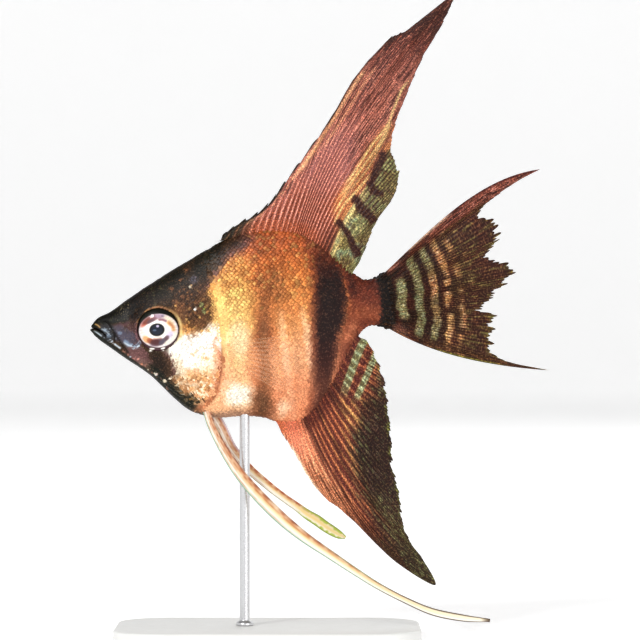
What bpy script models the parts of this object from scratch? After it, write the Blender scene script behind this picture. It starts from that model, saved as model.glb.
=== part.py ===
"""Freshwater angelfish (Pterophyllum scalare), a still life-size model on a plain display stand.

The fish is drawn level in its own frame, then pitched nose down by the pose. In that frame x runs back
from the tip of the snout, z runs up from the body's long axis, and y points to the fish's right. Places on
the fish are given in hundredths of the standard length, which runs from the snout to the root of the tail
fin. The stand is drawn upright in metres. Left and right are the fish's own.
"""

import math

import bmesh
import bpy
import numpy as np
from mathutils import Matrix

# Driving dimensions, in metres unless a name says otherwise.
STANDARD_LENGTH = 0.070
NOSE_DOWN = math.radians(5.2)
SNOUT_HEIGHT = 0.0733
GAP = 0.0003

RAY_ROOT_THICKNESS = 0.0011
RAY_TIP_THICKNESS = 0.0005
VALLEY_SHARE = 0.82
PECTORAL_THICKNESS = 0.0005

EYE_RADIUS = 0.0054
EYE_DEPTH_RADIUS = 0.0023
EYE_CENTRE_Y = 0.0037
EYE_PLACE = (22.7, -2.2)

BASE_LENGTH = 0.072
BASE_WIDTH = 0.046
BASE_THICKNESS = 0.003
BASE_CORNER = 0.012
BASE_EDGE = 0.0006
ROD_RADIUS = 0.0012
ROD_BEHIND_SNOUT = 0.0365
ROD_IN_BELLY = 0.003
ROD_IN_BASE = 0.002
BASE_CENTRE_BEHIND_SNOUT = 0.042

BODY_SIDE_POINTS = 13
FEELER_SIDES = 6

UNIT = STANDARD_LENGTH / 100
GAP_UNITS = GAP / UNIT

# Profile of the body seen from the side: (distance behind the snout, height of the back).
BACK = [
    (0, 0.4), (1.6, 2.3), (7, 4.9), (12, 7.8), (18, 11.3), (25.5, 15.2), (33, 18.9), (40, 22.3),
    (46.5, 25.2), (52.5, 27.3), (60, 28.2), (66, 27.9), (73, 26.4), (79, 22.6), (85.5, 15.6), (90, 10.3),
    (94, 7.8), (97.5, 8.3), (100, 9.6),
]
# The same for the throat and belly.
BELLY = [
    (0, -1.5), (2.5, -4.1), (6, -7.1), (12, -12.3), (19.6, -18.9), (22.6, -22.3), (26.3, -26.7),
    (29.9, -30.2), (34.3, -32.7), (38, -34), (43, -34.5), (50, -34.7), (55.5, -35.7), (60, -37.5),
    (66, -38.4), (72, -36.2), (77, -30.8), (82, -23.9), (86, -17.1), (90.6, -9.9), (94, -7.6),
    (98, -8.4), (100, -9.2),
]
# Half the body's thickness, and the height at which it is thickest.
HALF_WIDTH = [
    (0, 0.9), (3, 2.4), (8, 4.0), (15, 5.9), (22, 7.1), (30, 7.9), (38, 8.3), (46, 8.1), (56, 7.3),
    (66, 6.1), (76, 4.6), (85, 3.1), (92, 2.3), (100, 1.2),
]
WIDEST_HEIGHT = [(0, 0.2), (10, -1.2), (22, -2.2), (40, -4), (60, -3), (80, -1.5), (92, 0), (100, 0.2)]
# How blunt the section is at the back and at the belly: 0.5 is round, 1 is a wedge.
BACK_KEENNESS = [(0, 0.5), (20, 0.55), (40, 0.66), (60, 0.8), (90, 0.8), (94, 0.6), (100, 0.55)]
BELLY_KEENNESS = [(0, 0.5), (20, 0.6), (40, 0.55), (58, 0.62), (66, 0.8), (90, 0.8), (94, 0.6), (100, 0.55)]
KEEL_HALF_WIDTH = [(0, 0.25), (20, 0.4), (45, 0.7), (100, 0.7)]

# Rear edge of the gill cover: (height, distance behind the snout). The head ends along it.
GILL_REAR = [
    (-40, 24), (-36, 28.5), (-33, 32), (-30, 36), (-26.5, 39.6), (-21.5, 41.7), (-15, 43), (-8, 43.6),
    (-2, 43.3), (5.5, 42.4), (12, 41.2), (20, 40.3), (32, 40),
]
GILL_FRONT = [(-26, 36.8), (-22, 31.6), (-16, 28.9), (-11, 29.4), (-5, 31.2), (2, 31.6), (7.5, 34)]
GILL_LOW, GILL_HIGH = -25.5, 7
GILL_THICKNESS = 0.0010
STALK_START = 90.6

# The mouth's cleft from the lips to its corner, and on down behind the lower jaw.
JAW_EDGE = [(-4, 0.9), (0, 0), (3, -1.2), (6.9, -4.3), (8.7, -7.4), (9.8, -12.5)]

# Key rays of the upright fins, from front to back:
# (root's distance behind the snout, tip's distance, tip's height, lean at root, lean at tip), in degrees.
DORSAL_RAYS = [
    (46.8, 47.6, 27.6, 50, 40), (50.6, 53.4, 31.3, 58, 45), (54.6, 60.0, 34.3, 64, 48),
    (58.5, 65.4, 38.4, 68, 55), (61.8, 69.7, 43.4, 70, 60), (65.0, 77.4, 52.0, 71, 59),
    (67.8, 88.0, 64.4, 70, 58), (70.0, 97.4, 77.2, 69, 55), (72.0, 109.9, 88.6, 68, 47),
    (73.0, 116.0, 90.9, 67.5, 45), (73.8, 133.2, 102.1, 67, 41), (74.8, 131.6, 98.2, 66.5, 42),
    (75.8, 127.4, 91.0, 66, 44), (77.0, 121.2, 82.5, 65, 47), (78.4, 116.7, 74.8, 64, 50),
    (79.6, 112.6, 67.0, 63, 52), (80.9, 108.5, 58.5, 62, 51), (82.4, 106.6, 51.0, 61, 48),
    (84.0, 108.3, 42.8, 60, 44), (85.6, 106.6, 35.6, 59, 44), (87.2, 99.8, 27.4, 58, 45),
    (88.6, 95.8, 19.8, 55, 45), (89.8, 92.4, 13.6, 54, 48),
]
ANAL_RAYS = [
    (60.2, 61.3, -41.4, -66, -64), (61.8, 63.3, -45.4, -70, -66), (63.3, 65.9, -50.6, -76, -66),
    (64.8, 69.1, -57.6, -80, -66), (66.3, 73.6, -64.0, -80, -56), (67.8, 82.0, -72.2, -78, -53),
    (69.3, 94.9, -87.3, -76, -51), (70.8, 107.7, -95.9, -74, -38), (72.3, 105.4, -89.0, -72, -46),
    (74.0, 100.8, -81.0, -70, -52), (75.6, 99.2, -73.0, -68, -54), (77.2, 98.9, -65.0, -66, -53),
    (78.9, 97.6, -57.0, -63, -52), (80.6, 97.7, -49.0, -60, -50), (82.3, 97.9, -41.0, -56, -48),
    (84.1, 97.9, -34.0, -53, -46), (86.0, 97.2, -26.5, -51, -46), (88.0, 95.4, -18.5, -50, -46),
    (89.8, 92.6, -12.6, -50, -48),
]
# The tail fin's rays from the upper edge to the lower: (root's height, then as above).
CAUDAL_RAYS = [
    (9.4, 156.3, 39.7, 38, 2), (8.4, 148.0, 36.2, 34, 16), (7.3, 140.2, 31.6, 33, 24),
    (6.0, 135.4, 27.8, 31, 30), (4.8, 140.0, 23.4, 26, 27), (3.6, 140.2, 18.0, 21, 22),
    (2.5, 137.2, 14.0, 17, 18), (1.4, 141.4, 10.2, 12, 13), (0.3, 144.4, 5.6, 7, 7),
    (-0.8, 140.4, 2.0, 3, 3), (-1.9, 137.8, -1.4, 0, 0), (-3.0, 133.2, -4.8, -4, -4),
    (-4.1, 136.4, -8.2, -8, -7), (-5.3, 135.4, -12.6, -12, -11), (-6.5, 134.0, -17.2, -17, -15),
    (-7.7, 137.6, -22.8, -21, -17), (-8.9, 153.2, -28.3, -27, -4),
]
PECTORAL_RAYS = 11
PECTORAL_ROOT = [(45.6, -9.4), (46.0, -12.4), (46.0, -15.6)]
PECTORAL_LENGTH = 24
PECTORAL_LEAN = (4, -36)
PECTORAL_SPLAY = math.radians(24)

# The pelvic fins' middle lines: (distance behind the snout, height, distance out from the midline),
# and their breadths and thickness from root to tip, in metres.
LEFT_PELVIC = [
    (36.6, -31.6, 2.4), (37.8, -35.8, 2.9), (40.3, -42.6, 4.2), (43.7, -50.0, 5.6), (48.2, -56.6, 6.8),
    (53.0, -62.8, 7.6), (59.9, -70.6, 8.3), (67.3, -77.9, 8.7), (76.4, -85.5, 8.8), (90.2, -95.7, 8.2),
    (103.0, -103.8, 7.0), (113.5, -108.4, 6.0), (126.1, -110.6, 5.0),
]
RIGHT_PELVIC = [
    (38.4, -31.6, 2.4), (41.2, -39.4, 3.4), (44.4, -47.6, 5.2), (47.8, -52.6, 6.4), (51.9, -56.1, 7.4),
    (57.3, -60.9, 8.6), (62.9, -66.8, 9.6), (68.8, -70.9, 10.3), (72.8, -73.5, 10.8), (79.6, -79.0, 11.2),
]
LEFT_BREADTH = [
    (0, 0.0025), (0.1, 0.0030), (0.22, 0.0031), (0.34, 0.0025), (0.5, 0.0017), (0.75, 0.0012), (1, 0.0006),
]
RIGHT_BREADTH = [(0, 0.0024), (0.3, 0.0022), (0.6, 0.0020), (0.8, 0.0024), (0.92, 0.0019), (1, 0.0006)]
PELVIC_THICKNESS = [(0, 0.0011), (0.3, 0.0009), (0.7, 0.0007), (1, 0.0005)]


def smooth_at(stations, x):
    """The value at x of a smooth curve through (x, value) stations, held level past either end."""
    xs = np.array([station[0] for station in stations], float)
    ys = np.array([station[1] for station in stations], float)
    slopes = np.gradient(ys, xs)
    x = np.clip(x, xs[0], xs[-1])
    i = np.clip(np.searchsorted(xs, x) - 1, 0, len(xs) - 2)
    step = xs[i + 1] - xs[i]
    t = (x - xs[i]) / step
    rise = ys[i + 1] - ys[i]
    straight = ys[i] + rise * t
    return straight + t * (1 - t) * ((1 - t) * (slopes[i] * step - rise) - t * (slopes[i + 1] * step - rise))


def smooth_row(rows, x):
    """The row at x, counted in rows from 0, of a table whose columns each run smoothly."""
    return [smooth_at(list(enumerate(column)), x) for column in zip(*rows)]


def half_width(s, h):
    """Half the body's thickness at a distance behind the snout and a height, in hundredths."""
    middle = smooth_at(WIDEST_HEIGHT, s)
    if h > middle:
        reach, keenness = smooth_at(BACK, s) - middle, smooth_at(BACK_KEENNESS, s)
    else:
        reach, keenness = middle - smooth_at(BELLY, s), smooth_at(BELLY_KEENNESS, s)
    share = min(abs(h - middle) / reach, 1)
    widest, keel = smooth_at(HALF_WIDTH, s), smooth_at(KEEL_HALF_WIDTH, s)
    return keel + (widest - keel) * (1 - share**2) ** keenness


def body_ring(s):
    """One section of the body, from the belly up the right side and down the left."""
    low, high = smooth_at(BELLY, s), smooth_at(BACK, s)
    heights = [low + (high - low) * (1 - math.cos(math.pi * i / (BODY_SIDE_POINTS - 1))) / 2
               for i in range(BODY_SIDE_POINTS)]
    right = [(s, half_width(s, h), h) for h in heights]
    left = [(s, -y, h) for s, y, h in reversed(right)]
    return right + left


def collection(name):
    made = bpy.data.collections.new(name)
    bpy.context.scene.collection.children.link(made)
    return made


def empty(name, location, parent=None):
    made = bpy.data.objects.new(name, None)
    made.location = location
    made.parent = parent
    FISH.objects.link(made)
    return made


def finish_of(name, colour, roughness, metallic=0.0):
    material = bpy.data.materials.new(name)
    material.use_nodes = True
    shader = material.node_tree.nodes["Principled BSDF"]
    shader.inputs["Base Color"].default_value = (*colour, 1)
    shader.inputs["Roughness"].default_value = roughness
    shader.inputs["Metallic"].default_value = metallic
    return material


def add(name, bm, finish, parent):
    """Makes an object of a bmesh, facing outwards. With no finish it is a cutter, left out of renders."""
    bmesh.ops.recalc_face_normals(bm, faces=bm.faces)
    mesh = bpy.data.meshes.new(name)
    bm.to_mesh(mesh)
    bm.free()
    made = bpy.data.objects.new(name, mesh)
    made.parent = parent
    if finish:
        mesh.materials.append(finish)
        mesh.shade_smooth()
        mesh.set_sharp_from_angle(angle=math.radians(40))
        FISH.objects.link(made)
    else:
        made.hide_render = True
        made.display_type = "WIRE"
        CUTTERS.objects.link(made)
    return made


def loft(rings, scale=UNIT):
    """A closed body through rings of points of equal number, with a flat face at each end."""
    bm = bmesh.new()
    rows = [[bm.verts.new([scale * c for c in point]) for point in ring] for ring in rings]
    for near, far in zip(rows, rows[1:]):
        for i, corner in enumerate(near):
            bm.faces.new((corner, near[i - 1], far[i - 1], far[i]))
    bm.faces.new(rows[0])
    bm.faces.new(rows[-1])
    return bm


def plate(outside, inside):
    """A closed plate between two grids of points of the same size, in metres."""
    bm = bmesh.new()
    skins = [[[bm.verts.new(point) for point in row] for row in grid] for grid in (outside, inside)]
    for grid in skins:
        for low, high in zip(grid, grid[1:]):
            for i in range(len(low) - 1):
                bm.faces.new((low[i], low[i + 1], high[i + 1], high[i]))
    rims = []
    for grid in skins:
        up = [row[-1] for row in grid[1:-1]]
        down = [row[0] for row in reversed(grid[1:-1])]
        rims.append(grid[0] + up + list(reversed(grid[-1])) + down)
    for i, corner in enumerate(rims[0]):
        bm.faces.new((corner, rims[0][i - 1], rims[1][i - 1], rims[1][i]))
    return bm


def slab(outline):
    """A prism across the whole fish over an outline of (distance behind the snout, height)."""
    reach = 20  # past the thickest part of the body, in hundredths
    return loft([[(s, y, h) for s, h in outline] for y in (-reach, reach)])


def boolean(target, other, operation):
    modifier = target.modifiers.new(f"{operation} {other.name}", "BOOLEAN")
    modifier.operation = operation
    modifier.object = other


def whole_body(name, finish, parent):
    stations = [0, 0.7, 1.7, 3.2, 5.5, 8.5, 12, 16, 20, 24, 28, 32, 36, 40, 44, 48, 52, 56,
                60, 64, 68, 72, 75.5, 79, 82, 85, 88, 91, 93.5, 96, 98, 100]
    return add(name, loft([body_ring(s) for s in stations]), finish, parent)


def edge_curve(stations, lowest, highest, steps, shift=0):
    """Points (distance, height) up a curve given as distance by height."""
    heights = np.linspace(lowest, highest, steps)
    return [(smooth_at(stations, h) + shift, h) for h in heights]


def make_flesh(pose):
    """Head, lower jaw, trunk and tail stalk, parted from one body shape by thin cuts."""
    steps, far = 26, 60
    head_rear = edge_curve(GILL_REAR, -40, 32, steps)
    trunk_front = edge_curve(GILL_REAR, -40, 32, steps, GAP_UNITS)
    ahead, behind = -10, 110
    jaw_below = [*JAW_EDGE, (9.8, -30), (ahead, -30)]
    head_side = [(ahead, -far), (head_rear[0][0], -far), *head_rear, (head_rear[-1][0], far), (ahead, far)]
    trunk_side = [(STALK_START, far), (trunk_front[-1][0], far), *reversed(trunk_front),
                  (trunk_front[0][0], -far), (STALK_START, -far)]
    stalk_from = STALK_START + GAP_UNITS
    stalk_side = [(stalk_from, -far), (behind, -far), (behind, far), (stalk_from, far)]

    skin = finish_of("dark_skin", (0.10, 0.08, 0.06), 0.35)
    jaw = whole_body("lower_jaw", finish_of("blue_grey_skin", (0.12, 0.14, 0.18), 0.35), pose)
    head = whole_body("head", skin, pose)
    trunk = whole_body("trunk", finish_of("gold_brown_scales", (0.62, 0.32, 0.16), 0.35), pose)
    stalk = whole_body("tail_stalk", finish_of("red_brown_scales", (0.40, 0.16, 0.10), 0.35), pose)
    boolean(head, add("head_side", slab(head_side), None, pose), "INTERSECT")
    boolean(trunk, add("trunk_side", slab(trunk_side), None, pose), "INTERSECT")
    boolean(stalk, add("stalk_side", slab(stalk_side), None, pose), "INTERSECT")
    boolean(jaw, add("jaw_side", slab(jaw_below), None, pose), "INTERSECT")
    grown = [(s + GAP_UNITS, h + GAP_UNITS) for s, h in JAW_EDGE]
    boolean(head, add("jaw_room", slab([*grown, (9.8 + GAP_UNITS, -30), (ahead, -30)]), None, pose),
            "DIFFERENCE")
    return head, trunk


def gill_grid(side, low, high, front_shift, rear_shift, offset):
    """Points over the gill cover, at an offset out from the body's surface in metres."""
    rows, columns = 10, 6
    grid = []
    for h in np.linspace(low, high, rows):
        front = smooth_at(GILL_FRONT, h) + front_shift
        rear = smooth_at(GILL_REAR, h) + rear_shift
        grid.append([(UNIT * s, side * (UNIT * half_width(s, h) + offset), UNIT * h)
                     for s in np.linspace(front, rear, columns)])
    return grid


def make_gill_covers(head, pose):
    """The two bony covers, each lying in a shallow pocket of the head."""
    silver = finish_of("silver_cover", (0.85, 0.80, 0.72), 0.3)
    clear, past_rear = 0.003, 3
    for name, side in (("gill_cover_left", -1), ("gill_cover_right", 1)):
        outer = gill_grid(side, GILL_LOW, GILL_HIGH, 0, -0.1, 0)
        inner = gill_grid(side, GILL_LOW, GILL_HIGH, 0, -0.1, -GILL_THICKNESS)
        add(name, plate(outer, inner), silver, pose)
        low, high = GILL_LOW - GAP_UNITS, GILL_HIGH + GAP_UNITS
        outer = gill_grid(side, low, high, -GAP_UNITS, past_rear, clear)
        inner = gill_grid(side, low, high, -GAP_UNITS, past_rear, -GILL_THICKNESS - GAP)
        pocket = add(f"pocket_of_{name}", plate(outer, inner), None, pose)
        boolean(head, pocket, "DIFFERENCE")


def eyeball(name, side, grow, finish, pose):
    bm = bmesh.new()
    bmesh.ops.create_uvsphere(bm, u_segments=16, v_segments=10, radius=1)
    place = (UNIT * EYE_PLACE[0], side * EYE_CENTRE_Y, UNIT * EYE_PLACE[1])
    bmesh.ops.rotate(bm, verts=bm.verts, cent=(0, 0, 0), matrix=Matrix.Rotation(math.pi / 2, 3, "X"))
    broad, deep = EYE_RADIUS + grow, EYE_DEPTH_RADIUS + grow
    bmesh.ops.scale(bm, verts=bm.verts, vec=(broad, deep, broad))
    bmesh.ops.translate(bm, verts=bm.verts, vec=place)
    return add(name, bm, finish, pose)


def make_eyes(head, pose):
    pearl = finish_of("pearl_eye", (0.85, 0.78, 0.80), 0.1)
    for name, side in (("eye_left", -1), ("eye_right", 1)):
        eyeball(name, side, 0, pearl, pose)
        boolean(head, eyeball(f"socket_of_{name}", side, GAP, None, pose), "DIFFERENCE")


def ray_point(root, tip, lean_root, lean_tip, t):
    """A point at t from 0 to 1 along a curved fin ray, as (distance behind the snout, height)."""
    root, tip = np.array(root, float), np.array(tip, float)
    length = np.linalg.norm(tip - root)
    out = [length * np.array((math.cos(math.radians(a)), math.sin(math.radians(a))))
           for a in (lean_root, lean_tip)]
    return ((1 + 2 * t) * (1 - t) ** 2 * root + t * (1 - t) ** 2 * out[0]
            + t * t * (3 - 2 * t) * tip - t * t * (1 - t) * out[1])


def fan(name, root_of, key_rays, rays, rows, notch, finish, pose):
    """An upright fin: a thin ribbed plate through its rays, with a toothed outer edge.

    Odd columns are the valleys between rays, which are thinner and end short of the edge by the notch.
    """
    columns = 2 * rays - 1
    sides = ([], [])
    for column in range(columns):
        key = column / (columns - 1) * (len(key_rays) - 1)
        root_at, tip_s, tip_h, lean_root, lean_tip = smooth_row(key_rays, key)
        root = root_of(root_at)
        valley = column % 2
        for line in sides:
            line.append([])
        for row in range(rows + 1):
            t = row / rows * (1 - valley * notch / math.dist(root, (tip_s, tip_h)))
            s, h = ray_point(root, (tip_s, tip_h), lean_root, lean_tip, t)
            thick = RAY_ROOT_THICKNESS + (RAY_TIP_THICKNESS - RAY_ROOT_THICKNESS) * math.sqrt(t)
            thick = max(RAY_TIP_THICKNESS, thick * (VALLEY_SHARE if valley else 1))
            for line, y in zip(sides, (thick / 2, -thick / 2)):
                line[-1].append((UNIT * s, y, UNIT * h))
    return add(name, plate(*sides), finish, pose)


def root_beyond(profile, sign):
    """A function giving the point a hair clear of the back or belly at a distance behind the snout."""
    def root(s):
        step = 0.5
        slope = (smooth_at(profile, s + step) - smooth_at(profile, s - step)) / (2 * step)
        normal = np.array((-slope, 1)) / math.hypot(slope, 1)
        s, h = np.array((s, smooth_at(profile, s))) + sign * GAP_UNITS * normal
        return s, h
    return root


def make_upright_fins(pose):
    red = finish_of("maroon_rays", (0.38, 0.13, 0.12), 0.4)
    brown = finish_of("brown_green_rays", (0.22, 0.13, 0.06), 0.4)
    fan("dorsal_fin", root_beyond(BACK, 1), DORSAL_RAYS, 34, 6, 1.1, red, pose)
    fan("anal_fin", root_beyond(BELLY, -1), ANAL_RAYS, 27, 6, 1.0, red, pose)

    def tail_root(h):
        return 100 + GAP_UNITS, h

    fan("caudal_fin", tail_root, CAUDAL_RAYS, 17, 7, 1.6, brown, pose)


def make_pectorals(pose):
    """Thin fans held out and back from behind the gill covers."""
    clear = finish_of("clear_rays", (0.85, 0.80, 0.70), 0.3)
    rows = 5
    for name, side in (("pectoral_fin_left", -1), ("pectoral_fin_right", 1)):
        sides = ([], [])
        for column in range(PECTORAL_RAYS):
            across = column / (PECTORAL_RAYS - 1)
            s, h = smooth_row(PECTORAL_ROOT, across * (len(PECTORAL_ROOT) - 1))
            lean = math.radians(PECTORAL_LEAN[0] + (PECTORAL_LEAN[1] - PECTORAL_LEAN[0]) * across)
            length = PECTORAL_LENGTH * (0.72 + 0.28 * math.sin(math.pi * (0.15 + 0.7 * across)))
            y = half_width(s, h) + 1.6 * GAP_UNITS
            for line in sides:
                line.append([])
            for row in range(rows + 1):
                run = length * row / rows
                out = y + run * math.sin(PECTORAL_SPLAY) * (1 - 0.25 * row / rows)
                place = (s + run * math.cos(lean), h + run * math.sin(lean))
                for line, half in zip(sides, (PECTORAL_THICKNESS / 2, -PECTORAL_THICKNESS / 2)):
                    line[-1].append((UNIT * place[0], side * (UNIT * out + half), UNIT * place[1]))
        add(name, plate(*sides), clear, pose)


def feeler(name, line, breadths, side, grow, finish, pose):
    """A flattened tapering fin along a line or, when grown into a cutter, the part of it by the root."""
    reach = 0.3 if grow else 1
    steps = round(20 * reach)
    rings = []
    for step in range(steps + 1):
        t = reach * step / steps
        place = np.array(smooth_row(line, t * (len(line) - 1)))
        ahead = np.array(smooth_row(line, min(t + 0.01, 1) * (len(line) - 1)))
        behind = np.array(smooth_row(line, max(t - 0.01, 0) * (len(line) - 1)))
        run = (ahead - behind) / np.linalg.norm(ahead - behind)
        across = np.array((-run[1], run[0], 0)) / math.hypot(run[0], run[1])
        out = np.cross(run, across)
        breadth = (smooth_at(breadths, t) / 2 + grow) / UNIT
        thick = (smooth_at(PELVIC_THICKNESS, t) / 2 + grow) / UNIT
        ring = []
        for i in range(FEELER_SIDES):
            turn = 2 * math.pi * i / FEELER_SIDES
            s, h, y = place + breadth * math.cos(turn) * across + thick * math.sin(turn) * out
            ring.append((s, side * y, h))
        rings.append(ring)
    return add(name, loft(rings), finish, pose)


def make_pelvics(trunk, pose):
    cream = finish_of("cream_feelers", (0.85, 0.72, 0.50), 0.4)
    for name, side, line, breadths in (("pelvic_fin_left", -1, LEFT_PELVIC, LEFT_BREADTH),
                                       ("pelvic_fin_right", 1, RIGHT_PELVIC, RIGHT_BREADTH)):
        feeler(name, line, breadths, side, 0, cream, pose)
        socket = feeler(f"socket_of_{name}", line, breadths, side, GAP, None, pose)
        boolean(trunk, socket, "DIFFERENCE")


def upright_rod(name, x, low, high, radius, finish, parent):
    bm = bmesh.new()
    bmesh.ops.create_cone(bm, cap_ends=True, segments=24, radius1=radius, radius2=radius, depth=high - low)
    bmesh.ops.translate(bm, verts=bm.verts, vec=(x, 0, (low + high) / 2))
    return add(name, bm, finish, parent)


def make_stand(trunk, stand, belly_height):
    """A flat base with rounded corners and one upright rod, which fits holes in the base and the belly."""
    white = finish_of("white_lacquer", (0.80, 0.80, 0.78), 0.4)
    steel = finish_of("brushed_steel", (0.62, 0.62, 0.62), 0.3, 1.0)
    bm = bmesh.new()
    bmesh.ops.create_cube(bm, size=1)
    bmesh.ops.scale(bm, verts=bm.verts, vec=(BASE_LENGTH, BASE_WIDTH, BASE_THICKNESS))
    bmesh.ops.translate(bm, verts=bm.verts, vec=(BASE_CENTRE_BEHIND_SNOUT, 0, BASE_THICKNESS / 2))
    corners = [edge for edge in bm.edges if abs(edge.verts[0].co.z - edge.verts[1].co.z) > GAP]
    bmesh.ops.bevel(bm, geom=corners, offset=BASE_CORNER, segments=6, affect="EDGES", profile=0.5)
    rim = [edge for edge in bm.edges if min(v.co.z for v in edge.verts) > BASE_THICKNESS - GAP]
    bmesh.ops.bevel(bm, geom=rim, offset=BASE_EDGE, segments=2, affect="EDGES", profile=0.5)
    base = add("stand_base", bm, white, stand)

    x = ROD_BEHIND_SNOUT
    low, high = BASE_THICKNESS - ROD_IN_BASE, belly_height + ROD_IN_BELLY
    upright_rod("stand_rod", x, low, high, ROD_RADIUS, steel, stand)
    room = ROD_RADIUS + GAP
    well = upright_rod("hole_in_base", x, low - GAP, low + BASE_THICKNESS, room, None, stand)
    boolean(base, well, "DIFFERENCE")
    hole = upright_rod("hole_in_belly", x, belly_height - ROD_IN_BELLY, high + GAP, room, None, stand)
    boolean(trunk, hole, "DIFFERENCE")


def world_range(axis):
    """The lowest and highest place of the finished pieces along a world axis."""
    bpy.context.view_layer.update()
    graph = bpy.context.evaluated_depsgraph_get()
    places = []
    for piece in FISH.objects:
        if piece.type == "MESH":
            seen = piece.evaluated_get(graph)
            places += [(seen.matrix_world @ vert.co)[axis] for vert in seen.data.vertices]
    return min(places), max(places)


def make_all():
    stand = empty("stand_frame", (0, 0, 0))
    pose = empty("swimming_pose", (0, 0, SNOUT_HEIGHT), stand)
    pose.rotation_euler = (0, -NOSE_DOWN, 0)
    head, trunk = make_flesh(pose)
    make_gill_covers(head, pose)
    make_eyes(head, pose)
    make_upright_fins(pose)
    make_pectorals(pose)
    make_pelvics(trunk, pose)
    at_rod = ROD_BEHIND_SNOUT / math.cos(NOSE_DOWN) / UNIT
    for _ in range(4):  # the belly over the rod, found by closing in on it
        drop = smooth_at(BELLY, at_rod) * math.sin(NOSE_DOWN)
        at_rod = (ROD_BEHIND_SNOUT / UNIT + drop) / math.cos(NOSE_DOWN)
    belly = UNIT * (at_rod * math.sin(NOSE_DOWN) + smooth_at(BELLY, at_rod) * math.cos(NOSE_DOWN))
    make_stand(trunk, stand, SNOUT_HEIGHT + belly)
    low, high = world_range(0)
    stand.location.x = -(low + high) / 2


for thing in list(bpy.data.objects):
    bpy.data.objects.remove(thing)
FISH = collection("freshwater_angelfish")
CUTTERS = collection("cutters")
make_all()
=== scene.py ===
"""Freshwater angelfish on a display stand: skin, scales, eyes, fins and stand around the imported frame.

Places on the fish are (s, y, h) in hundredths of the body's length: s runs back from the tip of the snout,
y to the fish's right and h up, all in the fish's own level frame. to_frame() pitches them nose down and
turns them into metres.
"""

import math

import bmesh
import bpy
import numpy as np
from bpy.props import FloatProperty, FloatVectorProperty, IntProperty, PointerProperty
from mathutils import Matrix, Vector


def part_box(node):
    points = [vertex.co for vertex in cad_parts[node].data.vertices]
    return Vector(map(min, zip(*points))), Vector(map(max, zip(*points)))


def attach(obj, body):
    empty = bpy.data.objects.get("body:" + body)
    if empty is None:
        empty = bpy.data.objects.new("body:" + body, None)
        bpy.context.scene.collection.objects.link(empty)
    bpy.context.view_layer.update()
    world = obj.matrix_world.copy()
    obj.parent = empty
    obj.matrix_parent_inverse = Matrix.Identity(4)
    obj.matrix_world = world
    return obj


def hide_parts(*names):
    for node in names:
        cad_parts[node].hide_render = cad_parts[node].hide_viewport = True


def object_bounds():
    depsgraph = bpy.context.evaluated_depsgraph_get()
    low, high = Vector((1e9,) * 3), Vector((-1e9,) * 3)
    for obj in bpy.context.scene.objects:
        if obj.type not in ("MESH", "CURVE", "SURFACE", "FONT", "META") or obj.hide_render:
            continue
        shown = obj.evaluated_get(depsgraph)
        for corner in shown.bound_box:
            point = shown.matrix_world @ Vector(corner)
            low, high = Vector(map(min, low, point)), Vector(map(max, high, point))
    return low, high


bl_info = {
    "name": "Angelfish display model",
    "version": (1, 0, 0),
    "blender": (4, 5, 0),
    "location": "View3D > Sidebar > Angelfish",
    "description": "Builds the skin, scales, fins, eyes and stand of a freshwater angelfish model",
    "category": "Object",
}

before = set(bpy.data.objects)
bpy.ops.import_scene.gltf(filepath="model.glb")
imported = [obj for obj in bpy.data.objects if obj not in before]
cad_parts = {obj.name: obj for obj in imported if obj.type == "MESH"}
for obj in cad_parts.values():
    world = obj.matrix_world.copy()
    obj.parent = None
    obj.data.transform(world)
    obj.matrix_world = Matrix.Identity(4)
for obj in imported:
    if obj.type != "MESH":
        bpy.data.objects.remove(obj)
CAD_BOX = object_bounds()

# ---- The fish's own frame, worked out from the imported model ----

NOSE_DOWN = math.radians(5.2)
DOWN_COS, DOWN_SIN = math.cos(NOSE_DOWN), math.sin(NOSE_DOWN)
EYE_S, EYE_H = 22.7, -2.2
FRONT_RISE, REAR_FOOT = 0.4, -9.2  # heights of the body's foremost and rearmost corners

body_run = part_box("tail_stalk")[1].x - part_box("head")[0].x
UNIT = body_run / (100 * DOWN_COS + (FRONT_RISE - REAR_FOOT) * DOWN_SIN)
eye_middle = (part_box("eye_left")[0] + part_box("eye_left")[1]) / 2
SNOUT = np.array((
    eye_middle.x - UNIT * (EYE_S * DOWN_COS - EYE_H * DOWN_SIN),
    0,
    eye_middle.z - UNIT * (EYE_S * DOWN_SIN + EYE_H * DOWN_COS),
))
EYE_S, EYE_H = EYE_S + 0.33, EYE_H - 0.4  # where the opening in the skin shows most of the eyeball
EYE_OUT = abs(eye_middle.y) / UNIT
EYE_RADIUS = (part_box("eye_left")[1].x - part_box("eye_left")[0].x) / 2 / UNIT
EYE_DEPTH = (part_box("eye_left")[1].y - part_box("eye_left")[0].y) / 2 / UNIT


def to_frame(points):
    """Points (s, y, h) of the fish as metres in the frame."""
    s, y, h = np.moveaxis(np.asarray(points, float), -1, 0)
    return SNOUT + UNIT * np.stack((s * DOWN_COS - h * DOWN_SIN, y, s * DOWN_SIN + h * DOWN_COS), -1)


def mm(length):
    """A length in millimetres as hundredths of the body's length."""
    return length / 1000 / UNIT


# ---- Curves, falloffs and grain ----

def smooth_at(stations, x):
    """Values at x of a smooth curve through (x, value) stations, held level past either end."""
    xs, ys = np.array(stations, float).T
    slopes = np.gradient(ys, xs)
    x = np.clip(x, xs[0], xs[-1])
    i = np.clip(np.searchsorted(xs, x) - 1, 0, len(xs) - 2)
    step = xs[i + 1] - xs[i]
    t = (x - xs[i]) / step
    rise = ys[i + 1] - ys[i]
    straight = ys[i] + rise * t
    return straight + t * (1 - t) * ((1 - t) * (slopes[i] * step - rise) - t * (slopes[i + 1] * step - rise))


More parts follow.
